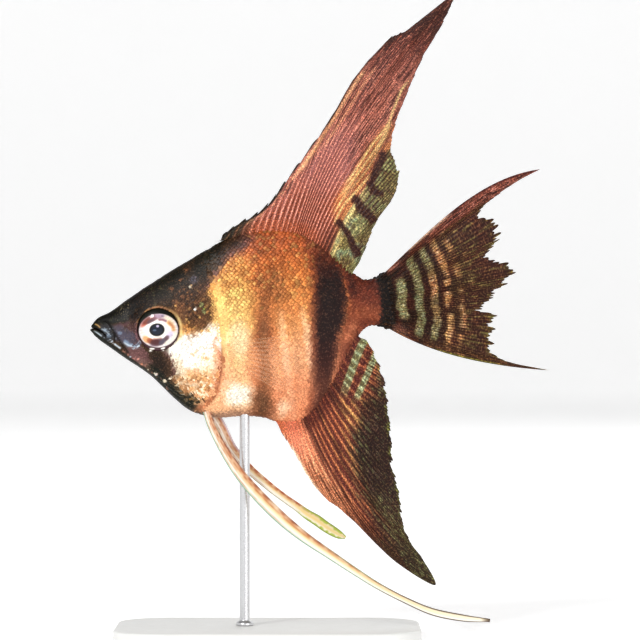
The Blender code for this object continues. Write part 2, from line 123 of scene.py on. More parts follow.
def smooth_row(rows, x):
    """The rows at x, counted in rows from 0, of a table whose columns each run smoothly."""
    return [smooth_at(list(enumerate(column)), x) for column in zip(*rows)]


def ramp(x, start, end):
    """0 before start and 1 past end, with a smooth rise between."""
    t = np.clip((np.asarray(x, float) - start) / (end - start), 0, 1)
    return t * t * (3 - 2 * t)


def fall(x, start, end):
    """1 before start and 0 past end, with a smooth fall between."""
    return 1 - ramp(x, start, end)


def bump(x, middle, width):
    """1 at the middle, falling smoothly to either side."""
    return np.exp(-((np.asarray(x, float) - middle) / width) ** 2)


def grain(a, b, size, seed):
    """Smooth random values from -1 to 1 over a plane, each patch about size across."""
    table = np.random.default_rng(seed).uniform(-1, 1, (256, 256))
    a, b = np.asarray(a, float) / size, np.asarray(b, float) / size
    i, j = np.floor(a).astype(int), np.floor(b).astype(int)
    u, v = a - i, b - j
    u, v = u * u * (3 - 2 * u), v * v * (3 - 2 * v)
    near = table[i % 256, j % 256] * (1 - u) + table[(i + 1) % 256, j % 256] * u
    far = table[i % 256, (j + 1) % 256] * (1 - u) + table[(i + 1) % 256, (j + 1) % 256] * u
    return near * (1 - v) + far * v


def flecks(a, b, size, seed, start, end):
    """Grain turned into flecks that rise from 0 to 1 between two of its values."""
    return ramp(grain(a, b, size, seed), start, end)


def patch(s, h, place, reach, turn=0, soft=0.6):
    """1 inside an ellipse at a place, fading to 0 across its edge."""
    a = math.radians(turn)
    ds, dh = s - place[0], h - place[1]
    along = (ds * math.cos(a) + dh * math.sin(a)) / reach[0]
    across = (dh * math.cos(a) - ds * math.sin(a)) / reach[1]
    return fall(np.hypot(along, across), 1 - soft / 2, 1 + soft / 2)


def from_line(s, h, line, steps=24):
    """Distance to a smooth line, with the share along it of the nearest place and the side it is passed on.

    The side is positive to the right of the line, looking along it.
    """
    xs, ys = smooth_row(line, np.linspace(0, len(line) - 1, steps))
    best = np.full(np.shape(s), np.inf)
    share, side = np.zeros(np.shape(s)), np.zeros(np.shape(s))
    for i in range(steps - 1):
        run = np.array((xs[i + 1] - xs[i], ys[i + 1] - ys[i]))
        ds, dh = s - xs[i], h - ys[i]
        t = np.clip((ds * run[0] + dh * run[1]) / (run @ run), 0, 1)
        off = np.hypot(ds - t * run[0], dh - t * run[1])
        near = off < best
        best = np.where(near, off, best)
        share = np.where(near, (i + t) / (steps - 1), share)
        side = np.where(near, np.sign(ds * run[1] - dh * run[0]), side)
    return best, share, side


def streak(s, h, line, width, fade=0.12):
    """1 along a smooth line, fading across its width and towards both ends."""
    off, share, _ = from_line(s, h, line)
    ends = ramp(share, 0, fade) * fall(share, 1 - fade, 1)
    return bump(off, 0, width) * ends


# ---- Colours ----

PALETTE = {
    "ink": "#0d0908", "black_green": "#15170f", "umber": "#3a2a1d", "bar": "#2c1310", "maroon": "#451b19",
    "red_brown": "#763826", "rust": "#a04f2e", "orange": "#c87139", "amber": "#e39c55", "gold": "#f2bc6c",
    "straw": "#f6d98f", "peach": "#f3b584", "salmon": "#e28a60", "pink": "#e59a88", "cream": "#fdeecf",
    "white": "#fffaf0", "slate": "#4b4a58", "blue": "#7488a0", "ice": "#c9d8e4", "plum": "#5b3f45",
    "mauve": "#8b5d66", "taupe": "#7a6055", "olive": "#6b6438", "moss": "#7f8758", "teal": "#7fa68c",
    "lime": "#a9c23e", "copper": "#b8663f", "tan": "#d69a57", "brown": "#7d5336", "rose": "#d48a76",
    "clay": "#96554a", "coral": "#dc7f68", "lilac": "#cfc2dc", "night": "#151c2b",
}


def tone(name):
    """A palette colour as display values from 0 to 1."""
    value = PALETTE[name].lstrip("#")
    return np.array([int(value[i:i + 2], 16) / 255 for i in (0, 2, 4)])


def laid_over(colours, others, mask):
    """Display values with others laid over them through a mask."""
    return colours + (others - colours) * np.clip(mask, 0, 1)[..., None]


def coat(colours, *layers):
    """Display values with (name, mask) layers from the palette laid over them in turn."""
    for name, mask in layers:
        colours = laid_over(colours, tone(name), mask)
    return colours


def marks(s, h, rows):
    """Layers for coat() from rows of a colour, a strength and the rest of a patch() or a streak()."""
    return [(name, strength * (streak if isinstance(where[0], list) else patch)(s, h, *where))
            for name, strength, *where in rows]


def plain(name, like):
    """A palette colour for every place in an array."""
    return np.tile(tone(name), np.shape(like) + (1,))


def light_values(colours):
    """Display values as the linear ones that a shader takes, with a full alpha."""
    linear = np.clip(colours, 0, 1) ** 2.2
    return np.concatenate((linear, np.ones(linear.shape[:-1] + (1,))), -1)


# ---- The body's shape ----

BACK = [
    (0, 0.4), (1.6, 2.3), (7, 4.9), (12, 7.8), (18, 11.3), (25.5, 15.2), (33, 18.9), (40, 22.3),
    (46.5, 25.2), (52.5, 27.3), (60, 28.2), (66, 27.9), (73, 26.4), (79, 22.6), (85.5, 15.6), (90, 10.3),
    (94, 7.8), (97.5, 8.3), (100, 9.6),
]
BELLY = [
    (0, -1.5), (2.5, -4.1), (6, -7.1), (12, -12.3), (19.6, -18.9), (22.6, -22.3), (26.3, -26.7),
    (29.9, -30.2), (34.3, -32.7), (38, -34), (43, -34.5), (50, -34.7), (55.5, -35.7), (60, -37.5),
    (66, -38.4), (72, -36.2), (77, -30.8), (82, -23.9), (86, -17.1), (90.6, -9.9), (94, -7.6),
    (98, -8.4), (100, -9.2),
]
HALF_WIDTH = [
    (0, 0.9), (3, 2.4), (8, 4.0), (15, 5.9), (22, 7.1), (30, 7.9), (38, 8.3), (46, 8.1), (56, 7.3),
    (66, 6.1), (76, 4.6), (85, 3.1), (92, 2.3), (100, 1.2),
]
WIDEST_HEIGHT = [(0, 0.2), (10, -1.2), (22, -2.2), (40, -4), (60, -3), (80, -1.5), (92, 0), (100, 0.2)]
BACK_KEENNESS = [(0, 0.5), (20, 0.55), (40, 0.66), (60, 0.8), (90, 0.8), (94, 0.6), (100, 0.55)]
BELLY_KEENNESS = [(0, 0.5), (20, 0.6), (40, 0.55), (58, 0.62), (66, 0.8), (90, 0.8), (94, 0.6), (100, 0.55)]
KEEL_HALF_WIDTH = [(0, 0.25), (20, 0.4), (45, 0.7), (100, 0.7)]
GILL_REAR = [
    (-40, 24), (-36, 28.5), (-33, 32), (-30, 36), (-26.5, 39.6), (-21.5, 41.7), (-15, 43), (-8, 43.6),
    (-2, 43.3), (5.5, 42.4), (12, 41.2), (20, 40.3), (32, 40),
]

# Lines on the head, each from front to back or from top to bottom.
CLEFT = [(-0.6, 0.1), (1.5, -0.3), (3.1, -1.1), (4.6, -2.4), (5.6, -3.9)]
JAW_PLATE = [(4.2, 2.4), (6.0, 1.5), (7.4, -0.8), (8.1, -3.4), (7.9, -5.8)]
JAW_HINGE = [(7.9, -2.0), (9.0, -4.0), (10.6, -6.9), (12.9, -10.4)]
CHEEK_EDGE = [(32.9, 2.0), (32.4, -5.3), (30.4, -9.5), (28.7, -12.8), (27.3, -17.2), (24.6, -20.4)]
UNDER_COVER = [(28.2, -20.6), (32.6, -22.6), (37.2, -24.6), (40.6, -27.4)]
THROAT_LINES = [
    [(19.5, -17.2), (25.0, -22.0), (31.0, -26.6), (36.5, -30.2)],
    [(20.5, -19.0), (25.4, -23.9), (30.6, -28.3), (35.0, -31.4)],
]
EYE_TO_JAW = [(17.2, -7.6), (13.6, -7.2), (11.0, -5.6)]
NOSTRIL = (14.6, 2.9)

SNOUT_ROUNDING, SNOUT_MIDDLE = 1.3, -0.5
ORBIT, SOCKET_FLOOR = mm(4.9), mm(2.6)  # the socket's radius, and how far from the midline it ends
EYE_TURN = math.radians(5)


def lined(s, h):
    """How high a share of the way from belly to back, as an even turn, a height lies."""
    low, high = smooth_at(BELLY, s), smooth_at(BACK, s)
    return np.arccos(1 - 2 * np.clip((h - low) / (high - low), 0, 1)) / math.pi


def surface(s, t, side):
    """Points of the bare body at distances s and turns t from belly (0) to back (1).

    The side is 1 for the fish's right and -1 for its left.
    """
    s, t = np.broadcast_arrays(np.asarray(s, float), np.asarray(t, float))
    low, high = smooth_at(BELLY, s), smooth_at(BACK, s)
    h = low + (high - low) * (1 - np.cos(math.pi * t)) / 2
    middle = smooth_at(WIDEST_HEIGHT, s)
    upper = h > middle
    reach = np.where(upper, high - middle, middle - low)
    keenness = np.where(upper, smooth_at(BACK_KEENNESS, s), smooth_at(BELLY_KEENNESS, s))
    share = np.clip(np.abs(h - middle) / reach, 0, 1)
    widest, keel = smooth_at(HALF_WIDTH, s), smooth_at(KEEL_HALF_WIDTH, s)
    y = keel * np.sqrt(1 - share**30) + (widest - keel) * (1 - share**2) ** keenness
    rounding = np.sqrt(1 - (1 - np.clip(s / SNOUT_ROUNDING, 0.0004, 1)) ** 2)
    h = SNOUT_MIDDLE + (h - SNOUT_MIDDLE) * rounding
    return np.stack((s, side * y * rounding, h), -1)


def outward(s, t, side):
    """Unit normals of the bare body."""
    step_s, step_t = 0.05, 0.001
    s, t = np.clip(s, step_s, None), np.clip(t, 2 * step_t, 1 - 2 * step_t)
    along = surface(s + step_s, t, side) - surface(s - step_s, t, side)
    up = surface(s, t + step_t, side) - surface(s, t - step_t, side)
    normal = side * np.cross(along, up)
    normal *= np.sign(normal[..., 1:2] * side)
    return normal / np.linalg.norm(normal, axis=-1, keepdims=True)


def relief(s, h):
    """How far the skin stands out from the plain body, in hundredths."""
    out = np.zeros(np.shape(s))
    # Lips, with the cleft between them, and the plate of the upper jaw.
    off, share, _ = from_line(s, h, CLEFT)
    out += mm(0.16) * bump(off, 0.8, 0.55) * fall(s, 3.5, 6)
    out -= mm(0.55) * bump(off, 0, 0.24) * fall(share, 0.8, 1)
    off, share, side = from_line(s, h, JAW_PLATE)
    out += np.where(side > 0, mm(0.14), 0) * bump(off, 0, 1.8) * ramp(share, 0, 0.15)
    out -= mm(0.2) * bump(off, 0, 0.22) * ramp(share, 0, 0.2)
    out -= mm(0.16) * streak(s, h, JAW_HINGE, 0.35)
    # Cheek plates and the gill cover's own edges.
    off, share, side = from_line(s, h, CHEEK_EDGE)
    fade = ramp(share, 0, 0.1) * fall(share, 0.85, 1)
    out += mm(0.12) * bump(off, 0, 1.6) * fade * (side > 0)
    out -= mm(0.16) * bump(off, 0, 0.4) * fade
    out -= mm(0.12) * streak(s, h, UNDER_COVER, 0.4)
    for line in THROAT_LINES:
        out -= mm(0.12) * streak(s, h, line, 0.35)
    out += mm(0.1) * streak(s, h, EYE_TO_JAW, 0.9)
    # The rear edge of the gill cover stands over a groove in the flank.
    behind = s - smooth_at(GILL_REAR, h)
    free = ramp(h, -33, -27) * fall(h, 6, 12)
    out += mm(0.16) * free * bump(behind, 0, 4.5) * fall(behind, -0.2, 0.3)
    out -= mm(0.08) * free * bump(behind, 0, 1.6) * ramp(behind, -0.2, 0.3)
    # Nostril.
    off = np.hypot(s - NOSTRIL[0], h - NOSTRIL[1])
    out += mm(0.08) * bump(off, 0.85, 0.3) - mm(0.4) * bump(off, 0, 0.5)
    # Low swells of muscle and bone.
    out += mm(0.05) * grain(s, h, 4.5, 3) + mm(0.02) * grain(s, h, 1.2, 4)
    return out


def coat_depth(s, h):
    """How far the skin lies under the solid's surface to leave room for the scales, in hundredths."""
    scaled = ramp(s - smooth_at(GILL_REAR, h), -0.5, 1.5)
    return mm(0.05) + mm(0.07) * ramp(s, 11, 15) + mm(0.14) * scaled


def eye_front(s, h):
    """The eyeball's distance out from the midline over a place, in hundredths."""
    off = np.hypot(s - EYE_S, h - EYE_H) / EYE_RADIUS
    return EYE_OUT + EYE_DEPTH * np.sqrt(np.clip(1 - off**2, 0, 1)) + (s - EYE_S) * math.tan(EYE_TURN)


def skin_at(s, t, side):
    """Points of the skin: the body with its relief, drawn in to a socket round the eye."""
    points = surface(s, t, side)
    h = points[..., 2]
    normal = outward(s, t, side)
    points = points + normal * (relief(s, h) - coat_depth(s, h))[..., None]
    off = np.hypot(points[..., 0] - EYE_S, points[..., 2] - EYE_H)
    rim = eye_front(EYE_S + (points[..., 0] - EYE_S) * ORBIT / np.maximum(off, ORBIT),
                    EYE_H + (points[..., 2] - EYE_H) * ORBIT / np.maximum(off, ORBIT))
    target = rim + mm(0.1) + mm(0.16) * bump(off, ORBIT + mm(0.35), mm(0.28))
    target = np.where(off < ORBIT, SOCKET_FLOOR, target)
    pull = fall(off, ORBIT + mm(0.35), ORBIT + mm(2.4))
    y = np.abs(points[..., 1])
    points[..., 1] = side * (y + (target - y) * pull)
    return points


# ---- Markings of the body, shared by the skin and the scales ----

FIRST_BAR = [
    (57.8, 11), (57.7, 5.9), (57.4, 0.9), (56.9, -4.2), (56.4, -9.2), (56.2, -14.3), (56.0, -19.3),
    (55.1, -24.3), (54.6, -29.4), (54.2, -34),
]
SECOND_BAR = [(79.9, 25), (80.5, 12.3), (80.0, -1.2), (77.6, -14.6), (75.3, -29.6), (72.4, -38)]
SECOND_BAR_HALF = [(-38, 3.0), (-29, 3.9), (-15, 4.8), (-1, 5.9), (12, 5.6), (25, 5.5)]


# Upright columns as (colour, place, width, strength), and marks as marks() takes them.
FLANK_COLUMNS = (
    ("orange", 50.9, 0.9, 0.2), ("orange", 60.4, 0.7, 0.3), ("cream", 62.6, 1.2, 0.4),
    ("orange", 64.3, 0.5, 0.3), ("brown", 66.2, 0.9, 0.36), ("orange", 68.4, 0.5, 0.3),
    ("cream", 70.6, 1.3, 0.5), ("salmon", 73.0, 0.8, 0.5),
)
FLANK_TINTS = (
    ("amber", 0.5, (68, 3), (9, 6), 0, 0.9),
    ("orange", 0.5, (67, 4.5), (8.5, 7), 0, 0.9),
    ("salmon", 0.3, (66, -12), (10, 14), 0, 0.9),
)
FRONT_FLANK_MARKS = (
    ("gold", 0.9, (46.5, 5), (7.5, 9), 0, 0.9),
    ("straw", 0.8, (47, -4), (6.0, 9), 0, 0.8),
    ("gold", 0.6, (47, -2), (6.4, 10), 0, 0.8),
    ("amber", 0.8, (47, 14), (8, 5), 25, 0.9),
    ("straw", 0.85, (49.2, -15), (4.8, 9), 6, 0.9),
    ("cream", 0.5, (48.5, -9), (3.6, 6), 0, 1.0),
    ("peach", 0.7, (48, -22), (6, 5)),
    ("salmon", 0.6, (52.4, -18), (2.8, 9), 0, 1.0),
    ("cream", 1, (46.6, -27.2), (4.8, 3.8), 0, 0.9),
    ("white", 0.6, (46.4, -27.0), (3.6, 2.6), 0, 0.9),
)
REAR_BELLY_MARKS = (
    ("salmon", 0.75, (65, -30), (9, 9), 0, 0.9),
    ("cream", 0.6, (61.8, -33.2), (2.0, 3.0), 0, 1.2),
    ("salmon", 0.9, (69, -37), (8, 6), 0, 0.8),
    ("brown", 0.5, (62.5, 9), (3, 6), 0, 0.9),
)


def flank_colours(s, h, s0, h0):
    """The flank's colours behind the gill cover; s0 and h0 are the places before they were jittered."""
    colours = coat(
        plain("amber", s),
        ("orange", 0.9 * ramp(h, 3, 15)),
        ("peach", ramp(-h, 2, 16)),
        *marks(s, h, FLANK_TINTS),
        ("rust", 0.75 * ramp(h, 13, 25) * ramp(s, 46, 56)),
        *marks(s, h, FRONT_FLANK_MARKS),
        ("taupe", 0.6 * ramp(-h, 31, 33.5) * fall(s, 57, 60)),
        *marks(s, h, REAR_BELLY_MARKS),
    )
    # Upright columns, soft and uneven, between the bars.
    wander = s + 0.06 * h
    length = ramp(-h, -3, 5) * (1 - 0.6 * ramp(-h, 16, 24))
    for name, place, width, strength in FLANK_COLUMNS:
        broken = 0.7 + 0.3 * grain(wander + place, h0 / 2.5, 1, 15)
        colours = coat(colours, (name, strength * broken * length * bump(wander, place, width)))

    off, share, _ = from_line(s, h, FIRST_BAR)
    weight = (0.5 + 0.5 * bump(share, 0.4, 0.14) - 0.2 * bump(share, 0.55, 0.06)
              + 0.2 * bump(share, 0.72, 0.1) + 0.5 * bump(share, 0.95, 0.14))
    colours = coat(
        colours,
        ("rust", weight * bump(off, 0, 3.4)),
        ("brown", 0.9 * weight * bump(off, 0, 2.3)),
        ("umber", 0.42 * patch(s, h, (54.4, -31), (3.6, 5.0), 8, 1.2)),
    )
    off, share, side = from_line(s, h, SECOND_BAR)
    half = smooth_at(SECOND_BAR_HALF, h)
    behind = side < 0
    rear = ramp(np.where(behind, off, 0), half - 0.5, half + 1.5)
    dark = fall(off + 0.5 * grain(s0, h0, 1.1, 16), half - 3.2, half + 1.2)
    return coat(
        colours,
        ("salmon", 0.8 * patch(s, h, (77.4, 21.6), (3.4, 2.6), -30, 0.8)),
        ("red_brown", 0.6 * fall(off, half, half + 2.2)),
        ("bar", dark * (1 - 0.5 * ramp(h, 9, 20)) * (1 - 0.35 * ramp(-h, 14, 30))),
        ("ink", 0.35 * dark * ramp(h + 16, 0, 8) * fall(h, 6, 14)),
        ("rust", 0.85 * rear),
        ("red_brown", 0.6 * rear),
        ("red_brown", 0.85 * rear * ramp(h, -2, 4)),
        ("bar", 0.6 * rear * ramp(h, 1, 7) * fall(s, 88, 92)),
        ("red_brown", 0.8 * rear * ramp(s, 88, 93)),
        ("bar", 0.5 * rear * ramp(h, 1, 7) * ramp(s, 91, 95)),
        ("salmon", 0.7 * streak(s, h, [(88.5, -5.5), (85.6, -12), (81.6, -22), (78.6, -29)], 1.4)),
        ("copper", 0.4 * rear * patch(s, h, (93, -3.8), (6, 3.0))),
        ("bar", 0.18 * rear),
        ("maroon", 0.5 * ramp(np.where(behind, off, 0), half, half + 1) * ramp(-h, 12, 20)),
        ("ink", 0.94 * ramp(s + 0.03 * np.abs(h - 1) ** 1.3, 96.0, 97.6)),
    )


CHEEK_MARKS = (
    ("mauve", 0.55, (15.4, -10.8), (4.4, 2.6), -42),
    ("taupe", 0.4, (17.5, -14.0), (3.4, 1.6), -45),
    ("blue", 0.9, [(10.6, -5.0), (13.1, -7.0), (15.8, -6.8), (17.6, -4.6)], 0.75),
)
GILL_MARKS = (
    ("white", 0.8, (40.8, -4.4), (2.2, 2.0), 0, 1.0),
    ("mauve", 0.5, (25.4, -14.4), (1.2, 4.6), 12),
    ("cream", 0.8, (28.0, -15.6), (1.6, 5.0), 10, 0.8),
    ("brown", 0.6, [(26.0, -11.5), (25.2, -14.0), (24.6, -18.0)], 0.5),
    ("brown", 0.5, [(27.9, -13.5), (27.0, -15.8), (26.6, -19.0)], 0.35),
    ("umber", 0.9, (22.6, -14.8), (3.2, 5.6), 6, 0.7),
    ("ink", 0.45, (21.8, -13.4), (2.2, 4.2), 4, 0.9),
)
# Small marks as (colour, reach, places).
HEAD_DOTS = (
    ("cream", (0.7, 0.6), (34.2, 10.5), (24.9, -18.8), (23.6, -20.0)),
    # The white dots at (20.0, -9.3) and (24.2, -9.4) are painted highlights on the socket's lower rim.
    ("white", (0.6, 0.4), (35.3, 2.9), (20.0, -9.3), (24.2, -9.4), (20.9, -17.6)),
    ("moss", (0.5, 1.0), (38.0, 2.2), (37.2, 4.2)),
    ("lime", (0.3, 0.6), (38.1, 2.2)),
    ("slate", (1.6, 1.3), (35.5, 12.6)),
    # The ice dot at (7.0, -5.2) is a painted highlight on the jaw plate.
    ("ice", (0.5, 0.25), (12.6, -11.0), (5.8, -4.7), (7.0, -5.2)),
    ("pink", (0.5, 0.3), (15.3, -11.9)),
    ("salmon", (0.5, 0.3), (16.2, -13.8)),
    ("cream", (0.3, 0.25), (18.2, -15.8), (20.4, -17.2)),
    ("brown", (0.8, 0.6), (31.0, 13.0), (27.6, 10.4), (33.4, 16.2), (29.2, 5.6)),
)
# Lines of the lips and jaws.
MOUTH_LINES = (
    ("ink", 0.85, JAW_PLATE, 0.32),
    ("ink", 0.6, JAW_HINGE, 0.5),
    ("gold", 0.75, [(1.6, 1.3), (2.7, 0.7), (3.6, -0.3)], 0.2),
    # The ice line along the lower lip is a painted highlight.
    ("ice", 0.9, [(0.9, -1.1), (2.3, -1.9), (3.9, -3.3)], 0.34),
    ("ice", 0.95, [(7.6, -5.9), (8.7, -6.9), (9.9, -7.9)], 0.34),
)


def head_colours(colours, s, h, s0, h0):
    """The markings of the nape and head laid over the flank's colours."""
    edge = smooth_at([(20, 4), (30, 8), (35, 8.6), (38, 9.5), (41, 12.5), (45, 18), (50, 22), (58, 27)], s)
    throat = smooth_at(BELLY, s0)
    front = fall(s - smooth_at(GILL_REAR, h), -0.5, 0.3)
    face = fall(s, 27, 30)
    lower = front * ramp(-h, 17.5, 20.5) * ramp(s, 24, 28)
    fine, coarse = grain(s0, h0, 0.7, 22), grain(s0, h0, 1.3, 24)
    cover_edge = smooth_at(GILL_REAR, h0) - s0
    edge_band = ramp(-h0, 8, 14) * fall(-h0, 29, 33)
    colours = coat(
        colours,
        ("plum", 0.8 * ramp(h - edge, -3.4, 0) * fall(s, 52, 60)),
        ("umber", 0.95 * ramp(h - edge, -1.0, 1.6) * fall(s, 49, 57)),
        ("black_green", 0.75 * ramp(h - edge, 1.5, 6) * fall(s, 45, 52)),
        # Face: dark above, mauve in front of the eye.
        ("umber", front * face),
        ("umber", 0.95 * front * fall(s, 34, 37) * ramp(h, -3, 0.5)),
        ("black_green", 0.8 * front * fall(s, 30, 36) * ramp(h - 0.35 * s, -4, 3)),
        ("umber", 0.8 * patch(s, h, (36.0, 5.0), (4.8, 6.4), 12, 0.6)),
        ("umber", 0.8 * patch(s, h, (36.4, -0.2), (4.4, 4.0), -24, 0.5)),
        ("brown", 0.45 * patch(s, h, (35.2, 1.6), (4.6, 5.6), 8) * ramp(fine, -0.4, 0.4)),
        ("brown", 0.7 * patch(s, h, (30.0, 1.2), (2.6, 4.2), -10) * ramp(coarse, -0.6, 0.4)),
        ("plum", 0.75 * patch(s, h, (13.5, -2.4), (5.6, 4.4), -20)),
        ("slate", 0.8 * patch(s, h, (10.8, -3.4), (4.2, 2.4), -30)),
        ("umber", 0.4 * patch(s, h, (14.6, -0.6), (4.6, 3.0), -10) * ramp(fine, -0.5, 0.4)),
        *marks(s, h, CHEEK_MARKS),
        ("ice", 0.85 * streak(s0, h0, [(10.8, -5.6), (13.1, -7.2), (15.6, -7.0), (17.0, -5.6)], 0.32)),
        ("blue", 0.6 * patch(s, h, (9.9, -2.6), (0.8, 0.6), 0)),
        # Pale cheek and gill cover: their own pale tone, whitened further by a painted sheen.
        ("tan", 0.7 * front * patch(s, h, (30.6, -7.6), (4.4, 5.4), 25, 0.5)),
        ("white", front * patch(s, h, (37.4, -10.6), (8.2, 6.2), 6, 0.5)),
        ("white", front * patch(s, h, (30.2, -10.6), (4.6, 5.4), 25, 0.6)),
        ("cream", 0.9 * front * patch(s, h, (39.6, -16.6), (4.6, 4.6), 0)),
        *marks(s, h, GILL_MARKS),
        ("salmon", 0.7 * streak(s0, h0, [(42.4, -6.0), (40.4, -8.6), (41.4, -12.0), (42.6, -15.0)], 0.5)),
        # Speckled lower cover, and the black throat.
        ("tan", 0.85 * lower),
        ("peach", 0.5 * lower),
        ("brown", 0.75 * lower * ramp(fine, -0.15, 0.4) * (0.75 + 0.25 * coarse)),
        ("umber", 0.85 * lower * ramp(fine, 0.15, 0.5) * ramp(-h + 0.5 * s, 38, 46)),
        ("cream", 0.85 * lower * ramp(-fine, 0.2, 0.5) * fall(-h, 24, 31)),
        ("black_green", 0.97 * ramp(s, 17, 21) * fall(s, 33, 37) * fall(h - throat, 4.4, 6.4)),
        ("cream", 0.6 * streak(s0, h0, [(26.6, -20.0), (30.2, -21.2), (34.6, -22.2)], 0.7)),
        # Rear edge of the cover.
        ("salmon", 0.65 * edge_band * bump(cover_edge, 1.6, 1.8)),
        ("rust", 0.6 * edge_band * bump(cover_edge, 0.2, 1.3) * (0.8 + 0.2 * coarse)),
        ("red_brown", 0.45 * edge_band * bump(cover_edge, 0.0, 0.8) * bump(h0, -17.5, 7)),
        # Speckles.
        ("peach", 0.6 * front * flecks(s0, h0, 1.5, 25, 0.3, 0.6) * ramp(s, 29, 32) * ramp(-h, 7, 12)),
        ("tan", 0.5 * front * flecks(s0, h0, 0.6, 26, 0.45, 0.8) * ramp(-h, 6, 12) * ramp(s, 28, 31)),
        ("brown", 0.8 * flecks(s0, h0, 0.7, 27, 0.1, 0.6) * patch(s, h, (34, 2), (7, 9))),
        ("gold", 0.7 * flecks(s0, h0, 0.6, 28, 0.5, 0.8) * patch(s, h, (34, 1), (8, 8))),
    )
    for name, reach, *places in HEAD_DOTS:
        for place in places:
            colours = coat(colours, (name, 0.9 * patch(s0, h0, place, reach, 30, 0.7)))
    off, share, _ = from_line(s0, h0, CLEFT)
    eye_off = np.hypot(s0 - EYE_S, h0 - EYE_H)
    angle = np.degrees(np.arctan2(h0 - EYE_H, EYE_S - s0))
    dots = grain(angle / 7, eye_off / mm(0.5), 1, 30)
    rim = bump(eye_off, ORBIT + mm(0.36), mm(0.2))
    return coat(
        colours,
        # Lips and jaw plate.
        ("black_green", 0.95 * fall(s, 10, 17) * ramp(h, -0.4, 1.2)),
        ("ink", 0.7 * fall(s, 14, 26) * ramp(h, 0.5, 2.5)),
        ("moss", 0.3 * flecks(s0, h0, 0.5, 33, 0.45, 0.8) * fall(s, 22, 30) * ramp(h, 0.5, 2)),
        ("umber", 0.7 * patch(s0, h0, (3.6, 0.2), (1.6, 1.0), -35)),
        ("slate", 0.85 * patch(s, h, (5.4, -1.9), (3.2, 2.4), -38)),
        ("black_green", 0.45 * patch(s, h, (5.4, -1.9), (3.2, 2.4), -38)),
        ("blue", 0.55 * patch(s0, h0, (5.4, -2.3), (2.0, 1.2), -40) * flecks(s0, h0, 0.7, 29, -0.3, 0.5)),
        ("ice", 0.55 * streak(s0, h0, [(3.6, -0.6), (5.2, -1.4), (6.6, -3.0)], 0.3)),
        ("black_green", 0.9 * fall(s0, 2.6, 4.4) * ramp(-h0, 0.6, 1.4)),
        ("ice", 0.55 * flecks(s0, h0, 0.45, 34, 0.4, 0.8) * patch(s, h, (6.8, -3.6), (4.6, 2.8), -40, 0.8)),
        ("pink", 0.55 * flecks(s0, h0, 0.5, 35, 0.3, 0.7) * bump(h0 - throat, 2.0, 1.6)
         * ramp(s, 8, 12) * fall(s, 23, 27)),
        ("ink", bump(off, 0, 0.34) * fall(share, 0.85, 1)),
        *marks(s0, h0, MOUTH_LINES),
        ("ink", 0.9 * bump(np.hypot(s0 - NOSTRIL[0], h0 - NOSTRIL[1]), 0, 0.5)),
        ("black_green", 0.95 * fall(h0 - throat, 1.2, 2.2) * fall(s0, 16, 22)),
        # Rim of the socket, darker above the eye.
        ("tan", 0.75 * rim * bump(angle, 75, 70) * ramp(dots, -0.5, 0.3)),
        ("rose", 0.4 * rim * bump(angle, 95, 40)),
        ("mauve", 0.7 * bump(eye_off, ORBIT + mm(0.5), mm(0.5)) * bump(angle, -5, 22)),
        ("straw", 0.8 * bump(eye_off, ORBIT + mm(0.55), mm(0.35)) * bump(np.abs(angle), 165, 26)),
        ("umber", 0.6 * bump(eye_off, ORBIT + mm(0.2), mm(0.15)) * ramp(np.abs(angle), 120, 150)),
        ("ink", fall(eye_off, ORBIT - mm(0.12), ORBIT + mm(0.06))),
    )


def flesh_colours(s, h):
    """The body's colours at places on either flank, as display values."""
    wave_s = 0.35 * grain(s, h, 1.5, 11) + 0.5 * grain(s, h, 4, 12)
    wave_h = 0.35 * grain(s, h, 1.5, 13) + 0.6 * grain(s, h, 4, 14)
    near, high = s + wave_s, h + wave_h
    return head_colours(flank_colours(near, high, s, h), near, high, s, h)


# ---- Meshes and materials ----

def add_object(name, data):
    """A new object of the data in the scene."""
    made = bpy.data.objects.new(name, data)
    bpy.context.scene.collection.objects.link(made)
    return made


def put_values(mesh, label, kind, values):
    """Stores values of a kind at a mesh's points, under a label."""
    layer = mesh.attributes.new(label, kind, "POINT")
    field = {"FLOAT": "value", "FLOAT_VECTOR": "vector", "FLOAT_COLOR": "color"}[kind]
    layer.data.foreach_set(field, values.astype(np.float32).ravel())


def make_mesh(name, points, faces, material, colours=None, uvs=None, numbers=()):
    """An object of a mesh from points in metres, with its colours at points and its map at face corners."""
    mesh = bpy.data.meshes.new(name)
    mesh.from_pydata(points.reshape(-1, 3).tolist(), [], faces)
    mesh.materials.append(material)
    if colours is not None:
        marking = mesh.color_attributes.new("Marking", "FLOAT_COLOR", "POINT")
        marking.data.foreach_set("color", light_values(colours).astype(np.float32).ravel())
    for label, values in numbers:
        put_values(mesh, label, "FLOAT", values)
    if uvs is not None:
        layer = mesh.uv_layers.new(name="OFBake")
        layer.data.foreach_set("uv", uvs.astype(np.float32).ravel())
    mesh.shade_smooth()
    return add_object(name, mesh)


def face_out(made, weld=False):
    """Turns a closed mesh's faces outwards, with points at one place made one first if asked."""
    bm = bmesh.new()
    bm.from_mesh(made.data)
    if weld:
        bmesh.ops.remove_doubles(bm, verts=bm.verts, dist=0.000001)
    bmesh.ops.recalc_face_normals(bm, faces=bm.faces)
    bm.to_mesh(made.data)
    bm.free()


def place_on_frame(made, slot, *nodes):
    """Lets a piece ride with the model and stand for some of its nodes; the slot is not used."""
    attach(made, "root")
    if nodes:
        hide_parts(*nodes)


